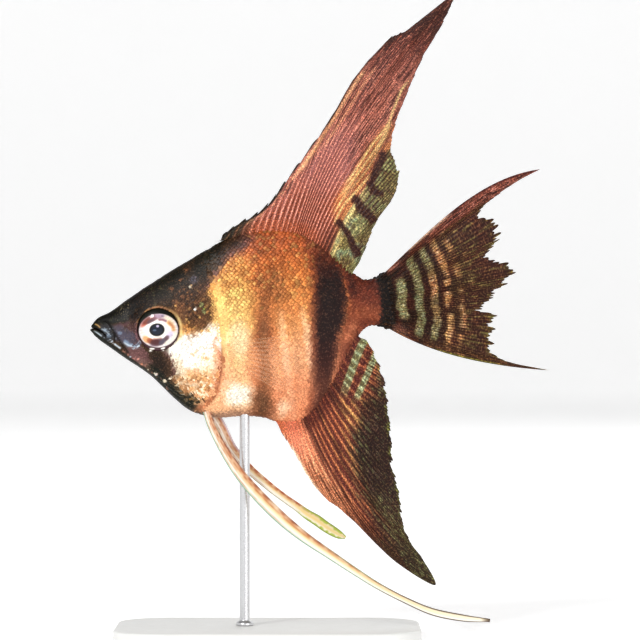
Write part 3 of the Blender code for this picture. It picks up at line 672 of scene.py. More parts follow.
def quads(rows, columns, closed=False):
    """Corner numbers of the faces between the points of a grid, and each corner's row and column."""
    row, column = np.meshgrid(np.arange(rows - 1), np.arange(columns - (0 if closed else 1)), indexing="ij")
    row, column = row.ravel(), column.ravel()
    rows4 = np.stack((row, row, row + 1, row + 1), -1)
    columns4 = np.stack((column, column + 1, column + 1, column), -1)
    return rows4 * columns + columns4 % columns, rows4, columns4


def sheet(rows, columns, closed=False, flipped=False):
    """The faces between the points of a grid as lists."""
    faces = quads(rows, columns, closed)[0]
    return (faces[:, ::-1] if flipped else faces).tolist()


def end_caps(rows, columns):
    """Corner numbers of the two faces that close a tube of rings."""
    return [list(range(columns)), list(range((rows - 1) * columns, rows * columns))]


def turned_profile(profile, sides, middle=(0, 0)):
    """Points and faces of a (radius, height) profile turned about an upright axis, open at its last ring."""
    angles = [2 * math.pi * i / sides for i in range(sides)]
    ring = np.array([[(middle[0] + r * math.cos(a), middle[1] + r * math.sin(a), z) for a in angles]
                     for r, z in profile])
    return ring, sheet(len(profile), sides, closed=True) + end_caps(len(profile), sides)[:1]


class Nodes:
    """Adds nodes to a tree and links them as they are made."""

    def __init__(self, tree):
        self.nodes, self.links = tree.nodes, tree.links

    def node(self, kind, settings=(), **inputs):
        made = self.nodes.new(kind)
        for key, value in dict(settings).items():
            setattr(made, key, value)
        for key, value in inputs.items():
            self.put(made.inputs[key.replace("_", " ")], value)
        return made

    def put(self, socket, value):
        if isinstance(value, bpy.types.NodeSocket):
            self.links.new(value, socket)
        else:
            socket.default_value = value


class Tree(Nodes):
    """The nodes of a new material."""

    def __init__(self, name):
        self.material = bpy.data.materials.new(name)
        self.material.use_nodes = True
        super().__init__(self.material.node_tree)
        self.shader = self.nodes["Principled BSDF"]
        self.place = self.node("ShaderNodeTexCoord").outputs["Object"]

    def attribute(self, name, output="Fac"):
        return self.node("ShaderNodeAttribute", {"attribute_name": name}).outputs[output]

    def math(self, operation, a, b=0.0):
        made = self.node("ShaderNodeMath", {"operation": operation})
        self.put(made.inputs[0], a)
        self.put(made.inputs[1], b)
        return made.outputs[0]

    def times(self, a, b):
        return self.math("MULTIPLY", a, b)

    def between(self, value, low, high, to_low=0.0, to_high=1.0):
        made = self.node("ShaderNodeMapRange", Value=value, From_Min=low, From_Max=high)
        made.inputs["To Min"].default_value = to_low
        made.inputs["To Max"].default_value = to_high
        return made.outputs[0]

    def noise(self, size, detail=2.0, roughness=0.5, vector=None):
        made = self.node("ShaderNodeTexNoise", Scale=1 / size, Detail=detail, Roughness=roughness)
        self.put(made.inputs["Vector"], vector or self.place)
        return made.outputs["Fac"]

    def mix(self, a, b, factor, blend="MIX"):
        made = self.node("ShaderNodeMix", {"data_type": "RGBA", "blend_type": blend})
        self.put(made.inputs["Factor"], factor)
        self.put(made.inputs[6], a)
        self.put(made.inputs[7], b)
        return made.outputs[2]

    def bump(self, height, distance):
        made = self.node("ShaderNodeBump", Strength=1.0, Distance=distance, Height=height)
        return made.outputs["Normal"]

    def finish(self, **sockets):
        for key, value in sockets.items():
            self.put(self.shader.inputs[key.replace("_", " ")], value)
        return self.material


def linear(name):
    """A palette colour as a shader takes it."""
    return tuple(float(v) for v in light_values(tone(name)))


def skin_material():
    """Bare wet skin, mottled, with painted glints as fine bright specks, as many as its glint value allows.
    """
    tree = Tree("wet_skin")
    marking = tree.attribute("Marking", "Color")
    glint_share = tree.attribute("GlintShare")
    mottle = tree.noise(0.0009, 3)
    colour = tree.mix(marking, (0, 0, 0, 1), tree.between(mottle, 0.45, 0.75, 0, 0.3))
    # Painted glints: specks lightened towards a warm tone where the glint value is high.
    specks = tree.noise(0.00028, 1)
    glinting = tree.times(tree.between(specks, 0.6, 0.72), glint_share)
    lit = tree.mix(colour, (0.24, 0.19, 0.11, 1), 1.0, "SCREEN")
    colour = tree.mix(colour, lit, glinting)
    height = tree.math("ADD", tree.noise(0.00035, 2), tree.times(mottle, 0.6))
    return tree.finish(Base_Color=colour, Roughness=0.36, Specular_IOR_Level=0.12,
                       Normal=tree.bump(height, 0.00006))


def scale_material():
    """A scale's own colour, darker at its rim and root by its Contrast value, with rings, and specks of which
    the bright ones are painted glints.
    """
    tree = Tree("wet_scales")
    marking = tree.attribute("Marking", "Color")
    contrast = tree.attribute("Contrast")
    local = tree.node("ShaderNodeSeparateXYZ", Vector=tree.attribute("local", "Vector")).outputs
    along = tree.math("DIVIDE", tree.math("SUBTRACT", local[0], 0.5), 0.5)
    across = tree.math("DIVIDE", local[1], 0.5)
    out = tree.math("SQRT", tree.math("ADD", tree.times(along, along), tree.times(across, across)))
    # The dark rim is partly the scale's own dark edge and partly painted shade; the darker root is a painted
    # shadow under the rim of the scale that overlaps it.
    rim = tree.times(tree.between(local[2], 0.0, 0.5, 0, 0.95), contrast)
    root = tree.times(tree.between(local[0], 0.66, 0.46, 0, 0.8), contrast)
    fine = tree.noise(0.00022, 2)
    colour = tree.mix(marking, (0, 0, 0, 1), tree.between(fine, 0.4, 0.8, 0, 0.25))
    shaded = tree.mix(colour, (0.36, 0.24, 0.17, 1), 1.0, "MULTIPLY")
    colour = tree.mix(colour, shaded, tree.math("MAXIMUM", rim, root))
    # Painted glints as bright specks, with darker specks besides.
    specks = tree.noise(0.0004, 1)
    lit = tree.mix(colour, (1.9, 1.8, 1.8, 1), 1.0, "MULTIPLY")
    lit = tree.mix(lit, (0.08, 0.04, 0.02, 1), 0.7, "SCREEN")
    colour = tree.mix(colour, lit, tree.between(specks, 0.57, 0.68, 0, 0.7))
    dim = tree.mix(colour, (0.6, 0.45, 0.36, 1), 1.0, "MULTIPLY")
    colour = tree.mix(colour, dim, tree.between(specks, 0.43, 0.3, 0, 0.7))
    rings = tree.math("SINE", tree.times(out, 55))
    height = tree.math("ADD", fine, tree.times(rings, 0.15))
    return tree.finish(Base_Color=colour, Roughness=0.3, Specular_IOR_Level=0.16,
                       Normal=tree.bump(height, 0.00002))


def fin_material():
    """Rays that fork into finer ones, with grain running along them and painted glints and darker grains
    along them.
    """
    tree = Tree("fin_rays")
    marking = tree.attribute("Marking", "Color")
    ray, along = tree.attribute("Ray"), tree.attribute("Along")
    forked = tree.attribute("Forked")
    turns = tree.times(tree.math("SUBTRACT", ray, 0.125), 8 * math.pi)
    groove = tree.times(tree.between(tree.math("COSINE", turns), 0.5, -0.8, 0, 0.62), forked)

    def along_rays(across, lengthwise, detail):
        place = tree.node("ShaderNodeCombineXYZ", X=tree.times(ray, across), Y=tree.times(along, lengthwise))
        return tree.noise(1, detail, vector=place.outputs[0])

    fibre, glint_noise = along_rays(7, 0.4, 2), along_rays(5, 1.7, 1)
    colour = tree.mix(marking, linear("bar"), tree.between(fibre, 0.42, 0.7, 0, 0.5))
    colour = tree.mix(colour, linear("bar"), groove)
    # Painted glints: the colour brightened in small grains along the rays.
    glint = tree.mix(colour, (2.7, 2.5, 2.3, 1), 1.0, "MULTIPLY")
    glint = tree.mix(glint, (0.06, 0.045, 0.02, 1), 0.6, "SCREEN")
    colour = tree.mix(colour, glint, tree.between(glint_noise, 0.53, 0.66, 0, 0.95))
    colour = tree.mix(colour, linear("bar"), tree.between(glint_noise, 0.46, 0.32, 0, 0.55))
    height = tree.math("SUBTRACT", fibre, groove)
    return tree.finish(Base_Color=colour, Roughness=0.42, Specular_IOR_Level=0.14,
                       Normal=tree.bump(height, 0.00004))


# ---- Skin ----

FACE_REAR, HEAD_REAR, SKIN_REAR = 33, 46, 100.4  # where the rings come to lie further apart, and end


def make_skin(settings):
    """One skin over head, jaw, gill covers, trunk and stalk."""
    stations = np.concatenate((
        0.02 + 1.4 * np.linspace(0, 1, 14) ** 2,
        np.arange(1.6, FACE_REAR, settings.head_step / UNIT),
        np.arange(FACE_REAR, HEAD_REAR, 1.5 * settings.head_step / UNIT),
        np.arange(HEAD_REAR, SKIN_REAR, settings.trunk_step / UNIT),
    ))
    turns = np.linspace(0, 1, settings.around)
    s, t = np.meshgrid(stations, turns, indexing="ij")
    right, left = skin_at(s, t, 1), skin_at(s, t, -1)
    middle = (right[:, [0, -1]] + left[:, [0, -1]]) / 2
    right[:, [0, -1]] = middle
    ring = np.concatenate((right, left[:, -2:0:-1]), axis=1)
    rows, columns = ring.shape[:2]
    faces, face_rows, face_columns = quads(rows, columns, closed=True)

    up = turns[np.where(face_columns < len(turns), face_columns, 2 * len(turns) - 2 - face_columns)]
    on_right = (face_columns.max(axis=1) < len(turns))[:, None]
    along = stations[face_rows]
    uvs = np.stack((map_along(along, on_right), flank_share(along, up)), -1)[:, ::-1]
    snout_cap, tail_cap = end_caps(rows, columns)
    cap_uvs = np.tile((MAP_EDGE / 2, 0.5), (2 * columns, 1))
    colours = flesh_colours(ring[..., 0], ring[..., 2])
    # Painted glints on the head and nape: how strongly the skin's bright specks show.
    glint_share = fall(ring[..., 0] - smooth_at(GILL_REAR, ring[..., 2]), -1, 1)
    glint_share *= (0.4 + 0.6 * ramp(ring[..., 2] - 0.35 * ring[..., 0], -4, 2)) * ramp(ring[..., 0], 4, 16)
    made = make_mesh("skin", to_frame(ring), faces[:, ::-1].tolist() + [snout_cap, tail_cap[::-1]],
                     skin_material(), colours, np.concatenate((uvs.reshape(-1, 2), cap_uvs)),
                     [("GlintShare", glint_share)])
    place_on_frame(made, "dark_skin", "head", "lower_jaw", "trunk", "tail_stalk", "gill_cover_left",
                   "gill_cover_right")


FLANK_REACH = 42  # the longest way over the skin from the middle of the flank to the back or belly
MAP_EDGE, MAP_RUN = 0.01, 0.47  # the map's margin, and the share of its width that a flank takes
MAP_REAR = 101  # how far behind the snout the map runs


def map_along(s, right):
    """How far along the map a place lies: the left flank fills its first half and the right its second."""
    return MAP_EDGE + MAP_RUN * s / MAP_REAR + 0.5 * right


def flank_lengths(s):
    """Turns and lengths over the skin from its widest height, for one distance behind the snout."""
    turns = np.linspace(0, 1, 81)
    points = surface(np.full_like(turns, s), turns, 1)
    lengths = np.concatenate(([0], np.cumsum(np.linalg.norm(np.diff(points, axis=0), axis=1))))
    return turns, lengths - np.interp(smooth_at(WIDEST_HEIGHT, s), points[:, 2], lengths)


def flank_share(s, t):
    """How far up its half of the unwrapped skin a place lies, from 0 to 1."""
    shares = np.empty(np.shape(s))
    for station in np.unique(s):
        at = s == station
        turns, lengths = flank_lengths(station)
        shares[at] = 0.5 + (0.5 - MAP_EDGE) * np.interp(t[at], turns, lengths) / FLANK_REACH
    return shares


# ---- Scales ----

def scale_shape():
    """One closed scale of unit length and breadth: root at x 0, free edge at x 1, domed up along z."""
    steps = 5
    x, y = np.meshgrid((0, 0.34, 0.64, 0.9, 1), (-0.5, -0.4, 0, 0.4, 0.5), indexing="ij")
    pinch = np.sqrt(np.clip(1 - (2 * np.abs(x - 0.45)) ** 2.6, 0, 1))
    pinch = np.maximum(pinch, 0.42)
    x = x - 0.16 * np.abs(2 * y) ** 2.2 * ramp(x, 0.4, 1) + 0.1 * np.abs(2 * y) ** 2 * fall(x, 0, 0.5)
    z = 0.045 * np.array((0, 0.6, 0.8, 1, 0))[:, None] * np.array((0, 0.7, 1, 0.7, 0))
    y = y * pinch
    edge = np.maximum(np.array((0, 0, 0, 0.3, 1))[:, None], np.array((1, 0.3, 0, 0.3, 1)))
    faces = sheet(steps, steps)
    border = [(0, j) for j in range(steps)] + [(i, steps - 1) for i in range(1, steps)]
    border += [(steps - 1, j) for j in range(steps - 2, -1, -1)] + [(i, 0) for i in range(steps - 2, 0, -1)]
    under = [[i * steps + j for i, j in border]]
    mesh = bpy.data.meshes.new("scale_shape")
    mesh.from_pydata(np.stack((x, y, z), -1).reshape(-1, 3).tolist(), [], faces + under)
    put_values(mesh, "local", "FLOAT_VECTOR", np.stack((x, y, edge), -1))
    bm = bmesh.new()
    bm.from_mesh(mesh)
    bmesh.ops.recalc_face_normals(bm, faces=bm.faces)
    for face in bm.faces:
        face.smooth = len(face.verts) == 4
        if len(face.verts) > 4:
            for edge in face.edges:
                edge.smooth = False
    bm.to_mesh(mesh)
    bm.free()
    return bpy.data.objects.new("scale_shape", mesh)


def scale_tree(material):
    """Sets a scale on every point, turned and sized by the point's own values, as one plain mesh."""
    tree = bpy.data.node_groups.new("lay_scales", "GeometryNodeTree")
    face = tree.interface
    face.new_socket("Geometry", in_out="INPUT", socket_type="NodeSocketGeometry")
    face.new_socket("Scale Shape", in_out="INPUT", socket_type="NodeSocketObject")
    patch_size = face.new_socket("Map Patch", in_out="INPUT", socket_type="NodeSocketFloat")
    patch_size.default_value = 0.003
    face.new_socket("Geometry", in_out="OUTPUT", socket_type="NodeSocketGeometry")
    build = Nodes(tree)
    given, result = build.node("NodeGroupInput").outputs, build.node("NodeGroupOutput")

    def named(name):
        node = build.node("GeometryNodeInputNamedAttribute", {"data_type": "FLOAT_VECTOR"}, Name=name)
        return node.outputs["Attribute"]

    shape = build.node("GeometryNodeObjectInfo", Object=given["Scale Shape"]).outputs["Geometry"]
    turn = build.node("FunctionNodeEulerToRotation", Euler=named("turn")).outputs[0]
    put = build.node("GeometryNodeInstanceOnPoints", Points=given["Geometry"], Instance=shape, Rotation=turn,
                     Scale=named("size"))
    real = build.node("GeometryNodeRealizeInstances", Geometry=put.outputs["Instances"])

    centred = build.node("ShaderNodeVectorMath", {"operation": "SUBTRACT"}, Vector=named("local"))
    centred.inputs[1].default_value = (0.5, 0, 0)
    spread = build.node("ShaderNodeVectorMath", {"operation": "SCALE"}, Vector=centred.outputs[0],
                        Scale=given["Map Patch"])
    at = build.node("ShaderNodeVectorMath", Vector=spread.outputs[0])
    build.put(at.inputs[1], named("root"))
    store = build.node("GeometryNodeStoreNamedAttribute", {"data_type": "FLOAT2", "domain": "CORNER"},
                       Name="OFBake", Geometry=real.outputs["Geometry"], Value=at.outputs[0])
    coloured = build.node("GeometryNodeSetMaterial", Material=material, Geometry=store.outputs["Geometry"])
    build.put(result.inputs["Geometry"], coloured.outputs["Geometry"])
    return tree


SCALE_SPAN = (8, 103)  # distances behind the snout between which scales are seated


def scale_seats(side, along, across, region, seed):
    """Seats of scales in level rows, every other row shifted by half a step, where the region allows.

    Gives each seat's (distance, turn) and its height.
    """
    random = np.random.default_rng(seed)
    stations = np.arange(SCALE_SPAN[0], SCALE_SPAN[1] + 1, 0.5)
    tables = [flank_lengths(min(s, 100)) for s in stations]
    seats = []
    rows = int(2 * FLANK_REACH / across)
    for row in range(-rows // 2, rows // 2):
        length = row * across
        s = np.arange(SCALE_SPAN[0] + (row % 2) * along / 2, SCALE_SPAN[1], along)
        s = s + random.uniform(-0.06, 0.06, len(s)) * along
        turn_at = np.array([np.interp(length, lengths, turns, -1, -1) for turns, lengths in tables])
        on_body = np.interp(s, stations, (turn_at >= 0).astype(float)) > 0.99
        t = np.interp(s, stations, turn_at)
        keep = on_body & (t > 0.03) & (t < 0.97)
        seats.append(np.stack((s[keep], t[keep]), -1))
    seats = np.concatenate(seats)
    height = surface(np.minimum(seats[:, 0], 100), seats[:, 1], side)[:, 2]
    keep = region(seats[:, 0], height)
    return seats[keep], height[keep]


def make_scales(name, side, region, step, random_seed, settings, material):
    """The scales of one side where the region allows, set at (along, across) steps, as one piece."""
    along, across = step
    seats, height = scale_seats(side, along, across, region, random_seed)
    s, t = seats.T
    random = np.random.default_rng(random_seed + 1)
    at = skin_at(s, t, side)
    ahead = skin_at(s + 0.25, t, side) - at
    ahead /= np.linalg.norm(ahead, axis=-1, keepdims=True)
    normal = outward(s, t, side)
    normal -= ahead * np.sum(ahead * normal, axis=-1, keepdims=True)
    normal /= np.linalg.norm(normal, axis=-1, keepdims=True)
    beside = np.cross(normal, ahead)
    swing = np.radians(random.normal(0, settings.unevenness, (len(s), 1)))
    ahead = ahead * np.cos(swing) + beside * np.sin(swing)
    lively, glinting = liveliness(s, height), sparkle(s, height)
    behind = s - smooth_at(GILL_REAR, height)
    # Strength of each scale's dark rim and root, partly painted shade, weaker just behind the gill cover.
    contrast = (0.12 + 0.88 * lively) * (1 - bump(behind, 0.8, 1.6))
    lift = np.radians(settings.lift + random.normal(0, 0.6, (len(s), 1))) * (0.5 + 0.5 * lively[:, None])
    ahead, normal = ahead * np.cos(lift) + normal * np.sin(lift), normal * np.cos(lift) - ahead * np.sin(lift)
    origin = to_frame(np.zeros(3))
    x_axis, z_axis = [(to_frame(v) - origin) / UNIT for v in (ahead, normal)]
    y_axis = np.cross(z_axis, x_axis)
    turn = np.stack((np.arctan2(y_axis[:, 2], z_axis[:, 2]), -np.arcsin(np.clip(x_axis[:, 2], -1, 1)),
                     np.arctan2(x_axis[:, 1], x_axis[:, 0])), -1)

    grown = (1 - 0.3 * ramp(np.abs(t - 0.5), 0.3, 0.47)) * random.uniform(0.92, 1.1, len(s))
    length = settings.overlap * along * UNIT * grown
    breadth = settings.breadth * 2 * across * UNIT * grown
    size = np.stack((length, breadth, along * UNIT * (0.3 + 0.7 * lively)), -1)
    roots = to_frame(at - 0.5 * (settings.overlap - 1) * along * ahead - mm(0.04) * normal)

    mesh = bpy.data.meshes.new(name + "_seats")
    mesh.from_pydata(roots.tolist(), [], [])
    colours = flesh_colours(s, height)
    colours = colours * (1 + 0.05 * lively + 0.19 * (lively * random.uniform(-1, 1, len(s))))[:, None]
    # Painted glints: some scales, more often where sparkle() is high, are pulled towards a bright gold.
    chosen = random.uniform(0, 1, len(s)) < 0.34 * glinting
    scale_glint = np.where(chosen, random.uniform(0.35, 0.95, len(s)), 0) * ramp(colours.max(axis=-1), 0.3, 0.55)
    warm = colours * 0.4 + 0.66 * np.maximum(colours.max(axis=-1, keepdims=True), 0.6) * tone("gold")
    colours = laid_over(colours, warm, scale_glint)
    root = np.stack((map_along(s, side > 0), flank_share(np.round(np.minimum(s, 100), 1), t), 0 * s), -1)
    for label, values in (("turn", turn), ("size", size), ("root", root)):
        put_values(mesh, label, "FLOAT_VECTOR", values)
    put_values(mesh, "Contrast", "FLOAT", contrast)
    put_values(mesh, "Marking", "FLOAT_COLOR", light_values(colours))
    points = add_object(name + "_seats", mesh)

    shape = scale_shape()
    tree = scale_tree(material)
    layer = points.modifiers.new("lay scales", "NODES")
    layer.node_group = tree
    shape_socket = next(item.identifier for item in tree.interface.items_tree if item.name == "Scale Shape")
    layer[shape_socket] = shape
    evaluated = points.evaluated_get(bpy.context.evaluated_depsgraph_get())
    solid = bpy.data.meshes.new_from_object(evaluated)
    solid.name = name
    made = add_object(name, solid)
    bpy.data.objects.remove(points)
    bpy.data.objects.remove(shape)
    place_on_frame(made, "gold_brown_scales")


def liveliness(s, h):
    """How much neighbouring scales differ and how clearly their rims show, from 0 to 1."""
    upper = 0.3 + 0.7 * ramp(h, -8, 9)
    cover = fall(s, 42, 44) * ramp(-h, 3, 7)
    return upper * (1 - 0.9 * cover)


def sparkle(s, h):
    """How often scales carry a painted glint, from 0 to 1."""
    return np.clip(
        0.9 * patch(s, h, (68, 23), (11, 3.4), -14, 1.0) + 0.9 * patch(s, h, (67, 9.8), (9, 1.8), -7, 1.0)
        + 0.9 * patch(s, h, (46.5, 10), (9, 9), 0, 1.0) + 0.35 * ramp(h, -10, 8) * fall(s, 76, 84)
        + 0.3 * fall(s, 36, 44) * ramp(h - 0.4 * s, -8, -2), 0, 1)


# ---- Eyes ----

EYE_MARKS = (
    ("cream", 0.5, (-2.8, -0.8), (1.2, 0.8), 0, 1.0),
    ("coral", 1, (-3.1, 2.0), (1.4, 0.8), 42, 0.6),
    ("mauve", 0.97, (-1.5, 2.65), (1.9, 0.9), 18, 0.7),
    ("red_brown", 0.85, (-2.2, 2.4), (1.6, 0.8), 26, 0.7),
    ("plum", 0.9, (-1.5, 2.1), (1.0, 0.42), 20, 0.8),
    # The lilac streak across the top of the iris is a painted sheen.
    ("lilac", 0.9, (0.8, 3.2), (1.2, 0.5), 0, 0.8),
    ("mauve", 0.4, (0.3, 3.0), (1.6, 0.6), 0, 0.8),
    ("slate", 0.5, (1.6, 3.1), (0.5, 0.3), 0, 0.8),
    ("cream", 0.95, (3.1, 2.3), (1.5, 1.0), -42, 0.7),
    ("mauve", 0.97, [(0.2, 2.2), (1.3, 2.2), (2.4, 1.65)], 0.34),
    ("tan", 0.95, [(2.2, 1.8), (3.2, 0.95), (3.7, 0.1), (3.6, -0.9)], 0.52),
    ("copper", 0.6, [(2.6, 1.4), (3.4, 0.6), (3.6, -0.1)], 0.3),
    ("lilac", 0.85, (2.6, -1.3), (0.9, 0.9), 30, 0.8),
    ("amber", 0.8, (-2.9, -2.1), (1.0, 0.75), -40, 0.7),
    ("rust", 0.9, (-2.0, -2.5), (0.85, 0.66), -30, 0.7),
    ("rose", 0.85, [(-1.4, -2.0), (-0.3, -2.0), (0.9, -1.85)], 0.32),
    ("plum", 0.97, (-0.3, -3.0), (1.9, 0.85), 10, 0.6),
    ("maroon", 0.7, (-0.9, -2.8), (1.2, 0.65), -10, 0.8),
    ("slate", 0.7, (0.5, -3.15), (0.6, 0.5), 20, 0.8),
    ("slate", 0.75, (1.4, -2.5), (0.8, 0.5), 36, 0.8),
    ("plum", 0.85, (1.9, -2.15), (0.7, 0.5), 42, 0.8),
)


def eye_colours(radius, angle):
    """Colours of the eyeball by distance from its axis in millimetres and angle from the front, upwards."""
    x, z = -radius * np.cos(angle), radius * np.sin(angle)
    iris = np.hypot((x - 0.11) / 4.7, (z + 0.24) / 4.02)
    pupil = np.hypot((x + 0.19) / 1.74, (z + 0.03) / 1.45)
    turn = np.arctan2(z + 0.22, x - 0.11)
    fibre = 0.5 + 0.5 * grain(np.degrees(turn) / 2.4, iris * 7, 1, 31)
    return coat(
        plain("white", x),
        *marks(x, z, EYE_MARKS),
        ("lilac", 0.35 * bump(iris, 0.96, 0.05)),
        ("plum", 0.3 * fibre * ramp(iris, 0.5, 0.8)),
        ("cream", 0.97 * streak(x, z, [(4.3, -1.0), (3.9, -1.7), (2.9, -2.8), (1.2, -3.6)], 0.3)),
        ("white", 0.97 * bump(pupil, 1.24, 0.2) * (1 - 0.5 * ramp(-z, 1.2, 2))),
        ("taupe", 0.6 * bump(iris, 1.0, 0.03)),
        ("ink", ramp(iris, 0.98, 1.01)),
        ("mauve", 0.5 * ramp(iris, 1.0, 1.03) * ramp(-z, -1.5, 1.5)),
        # Painted shadow of the socket's upper rim over the top of the eyeball beyond the iris.
        ("black_green", 0.9 * ramp(iris, 0.97, 1.01) * ramp(z, 1.5, 3)),
        # Painted highlights on the socket's lower rim.
        ("white", patch(x, z, (-1.8, -4.36), (0.62, 0.2), -8, 0.4)),
        ("white", patch(x, z, (0.8, -4.5), (0.52, 0.2), 8, 0.4)),
        ("night", fall(pupil, 0.97, 1.05)),
        ("ink", 0.8 * bump(pupil, 0.92, 0.14)),
        # Painted reflections of the lights in the lens.
        ("lilac", 0.9 * patch(x, z, (0.05, 0.8), (0.34, 0.28))),
        ("blue", 0.5 * patch(x, z, (-0.74, -0.1), (0.42, 0.24))),
    )


def make_eye(name, side, material):
    """An eyeball with its iris, and the lens standing out of the pupil."""
    rings, turns = 72, 144
    radius = np.linspace(0, 1, rings) ** 0.8 * EYE_RADIUS * 0.999
    angle = np.linspace(0, 2 * math.pi, turns, endpoint=False)
    r, a = np.meshgrid(radius, angle, indexing="ij")
    s, h = EYE_S - r * np.cos(a), EYE_H + r * np.sin(a)
    y = eye_front(s, h) - mm(0.05)
    lens = np.clip(1 - (r / mm(1.75)) ** 2, 0, 1)
    y = y + mm(0.12) * np.sqrt(lens)
    front = np.stack((s, side * y, h), -1)
    back = np.stack((s, side * (2 * EYE_OUT - y + 2 * (s - EYE_S) * math.tan(EYE_TURN)), h), -1)[::-1][1:]
    grid = np.concatenate((front, back))
    faces = sheet(len(grid), turns, closed=True, flipped=side > 0)
    r_mm = np.concatenate((r, r[::-1][1:])) * UNIT * 1000
    colours = eye_colours(r_mm, np.concatenate((a, a[1:])))
    made = make_mesh(name, to_frame(grid), faces, material, colours)
    face_out(made, weld=True)
    place_on_frame(made, "pearl_eye", name)


def eye_material():
    """The eyeball's colours under a clear wet coat."""
    tree = Tree("wet_eye")
    marking = tree.attribute("Marking", "Color")
    return tree.finish(Base_Color=marking, Roughness=0.3, Specular_IOR_Level=0.15, Coat_Weight=0.35,
                       Coat_Roughness=0.03)


# ---- Upright fins ----

# Rays as (root's distance behind the snout, tip's distance, tip's height, leans at root and tip in degrees).
DORSAL_RAYS = [
    (46.8, 47.6, 27.6, 50, 40), (50.6, 53.4, 31.3, 58, 45), (54.6, 60.0, 34.3, 64, 48),
    (58.5, 65.4, 38.4, 68, 55), (61.8, 69.7, 43.4, 70, 60), (65.0, 77.4, 52.0, 71, 59),
    (67.8, 88.0, 64.4, 70, 58), (70.0, 97.4, 77.2, 69, 55), (72.0, 109.9, 88.6, 68, 47),
    (73.0, 116.0, 90.9, 67.5, 45), (73.8, 133.1, 101.7, 67, 41), (74.8, 131.6, 98.2, 66.5, 42),
    (75.8, 127.4, 91.0, 66, 44), (77.0, 121.2, 82.5, 65, 47), (78.4, 116.7, 74.8, 64, 50),
    (79.6, 112.6, 67.0, 63, 52), (80.9, 108.5, 58.5, 62, 51), (82.4, 106.6, 51.0, 61, 48),
    (84.0, 108.3, 42.8, 60, 44), (85.6, 106.6, 35.6, 59, 44), (87.2, 99.8, 27.4, 58, 45),
    (88.6, 95.8, 19.8, 55, 45), (89.8, 92.4, 13.6, 54, 48),
]
ANAL_RAYS = [
    (60.2, 61.3, -41.4, -66, -64), (61.8, 63.3, -45.4, -70, -66), (63.3, 65.9, -50.6, -76, -66),
    (64.8, 69.1, -57.6, -80, -66), (66.3, 73.6, -64.0, -80, -56), (67.8, 82.0, -72.2, -78, -53),
    (69.3, 94.9, -87.3, -76, -51), (70.8, 107.9, -97.0, -74, -40), (72.3, 105.4, -89.0, -72, -46),
    (74.0, 100.8, -81.0, -70, -52), (75.6, 99.2, -73.0, -68, -54), (77.2, 98.9, -65.0, -66, -53),
    (78.9, 97.6, -57.0, -63, -52), (80.6, 97.7, -49.0, -60, -50), (82.3, 97.9, -41.0, -56, -48),
    (84.1, 97.9, -34.0, -53, -46), (86.0, 97.2, -26.5, -51, -46), (88.0, 95.4, -18.5, -50, -46),
    (89.8, 92.6, -12.6, -50, -48),
]
# The same with the root's height first, from the upper edge to the lower.
CAUDAL_RAYS = [
    (9.4, 156.3, 39.7, 38, 2), (8.4, 148.0, 36.2, 34, 16), (7.3, 140.2, 31.6, 33, 24),
    (6.0, 135.4, 27.8, 31, 30), (4.8, 140.0, 23.4, 26, 27), (3.6, 140.2, 18.0, 21, 22),
    (2.5, 137.2, 14.0, 17, 18), (1.4, 141.4, 10.2, 12, 13), (0.3, 144.4, 5.6, 7, 7),
    (-0.8, 140.4, 2.0, 3, 3), (-1.9, 137.8, -1.4, 0, 0), (-3.0, 133.2, -4.8, -4, -4),
    (-4.1, 136.4, -8.2, -8, -7), (-5.3, 135.4, -12.6, -12, -11), (-6.5, 134.0, -17.2, -17, -15),
    (-8.0, 137.6, -23.2, -26, -17), (-9.3, 153.2, -28.3, -36, -9),
]

ROOT_SUNK = 1.6  # how deep the rays start inside the body
HALF_WEB, HALF_ROOT, ROOT_REACH = mm(0.11), mm(0.3), 2.2  # half the membrane, thicker near its root
RIDGE_ROOT, RIDGE_TIP = mm(0.3), mm(0.08)  # how far rays stand out of it


def ray_point(root, tip, lean_root, lean_tip, t):
    """Points at t along curved rays, as (distance, height) with one column for each ray."""
    length = np.hypot(*(tip - root))
    out = [length * np.array((np.cos(np.radians(a)), np.sin(np.radians(a)))) for a in (lean_root, lean_tip)]
    root, tip = root[:, None], tip[:, None]
    return ((1 + 2 * t) * (1 - t) ** 2 * root + t * (1 - t) ** 2 * out[0][:, None]
            + t * t * (3 - 2 * t) * tip - t * t * (1 - t) * out[1][:, None])


def branches(offset, t, first, second, spines):
    """How strongly a ray shows at an offset from -0.5 to 0.5 of the way to its neighbours.

    A soft ray forks at the shares first and second of its length, and a spine doesn't.
    """
    soft = 1 - spines
    fork = 0.25 * ramp(t, first, first + 0.16) * soft
    twig = 0.125 * ramp(t, second, second + 0.14) * soft
    width = 0.21 - 0.08 * ramp(t, first, first + 0.16) * soft - 0.05 * ramp(t, second, second + 0.14) * soft
    found = np.zeros(np.broadcast(offset, t).shape)
    for sign in (-1, 1):
        for turn in (-1, 1):
            found = np.maximum(found, bump(offset - sign * fork - turn * twig, 0, width))
    return found


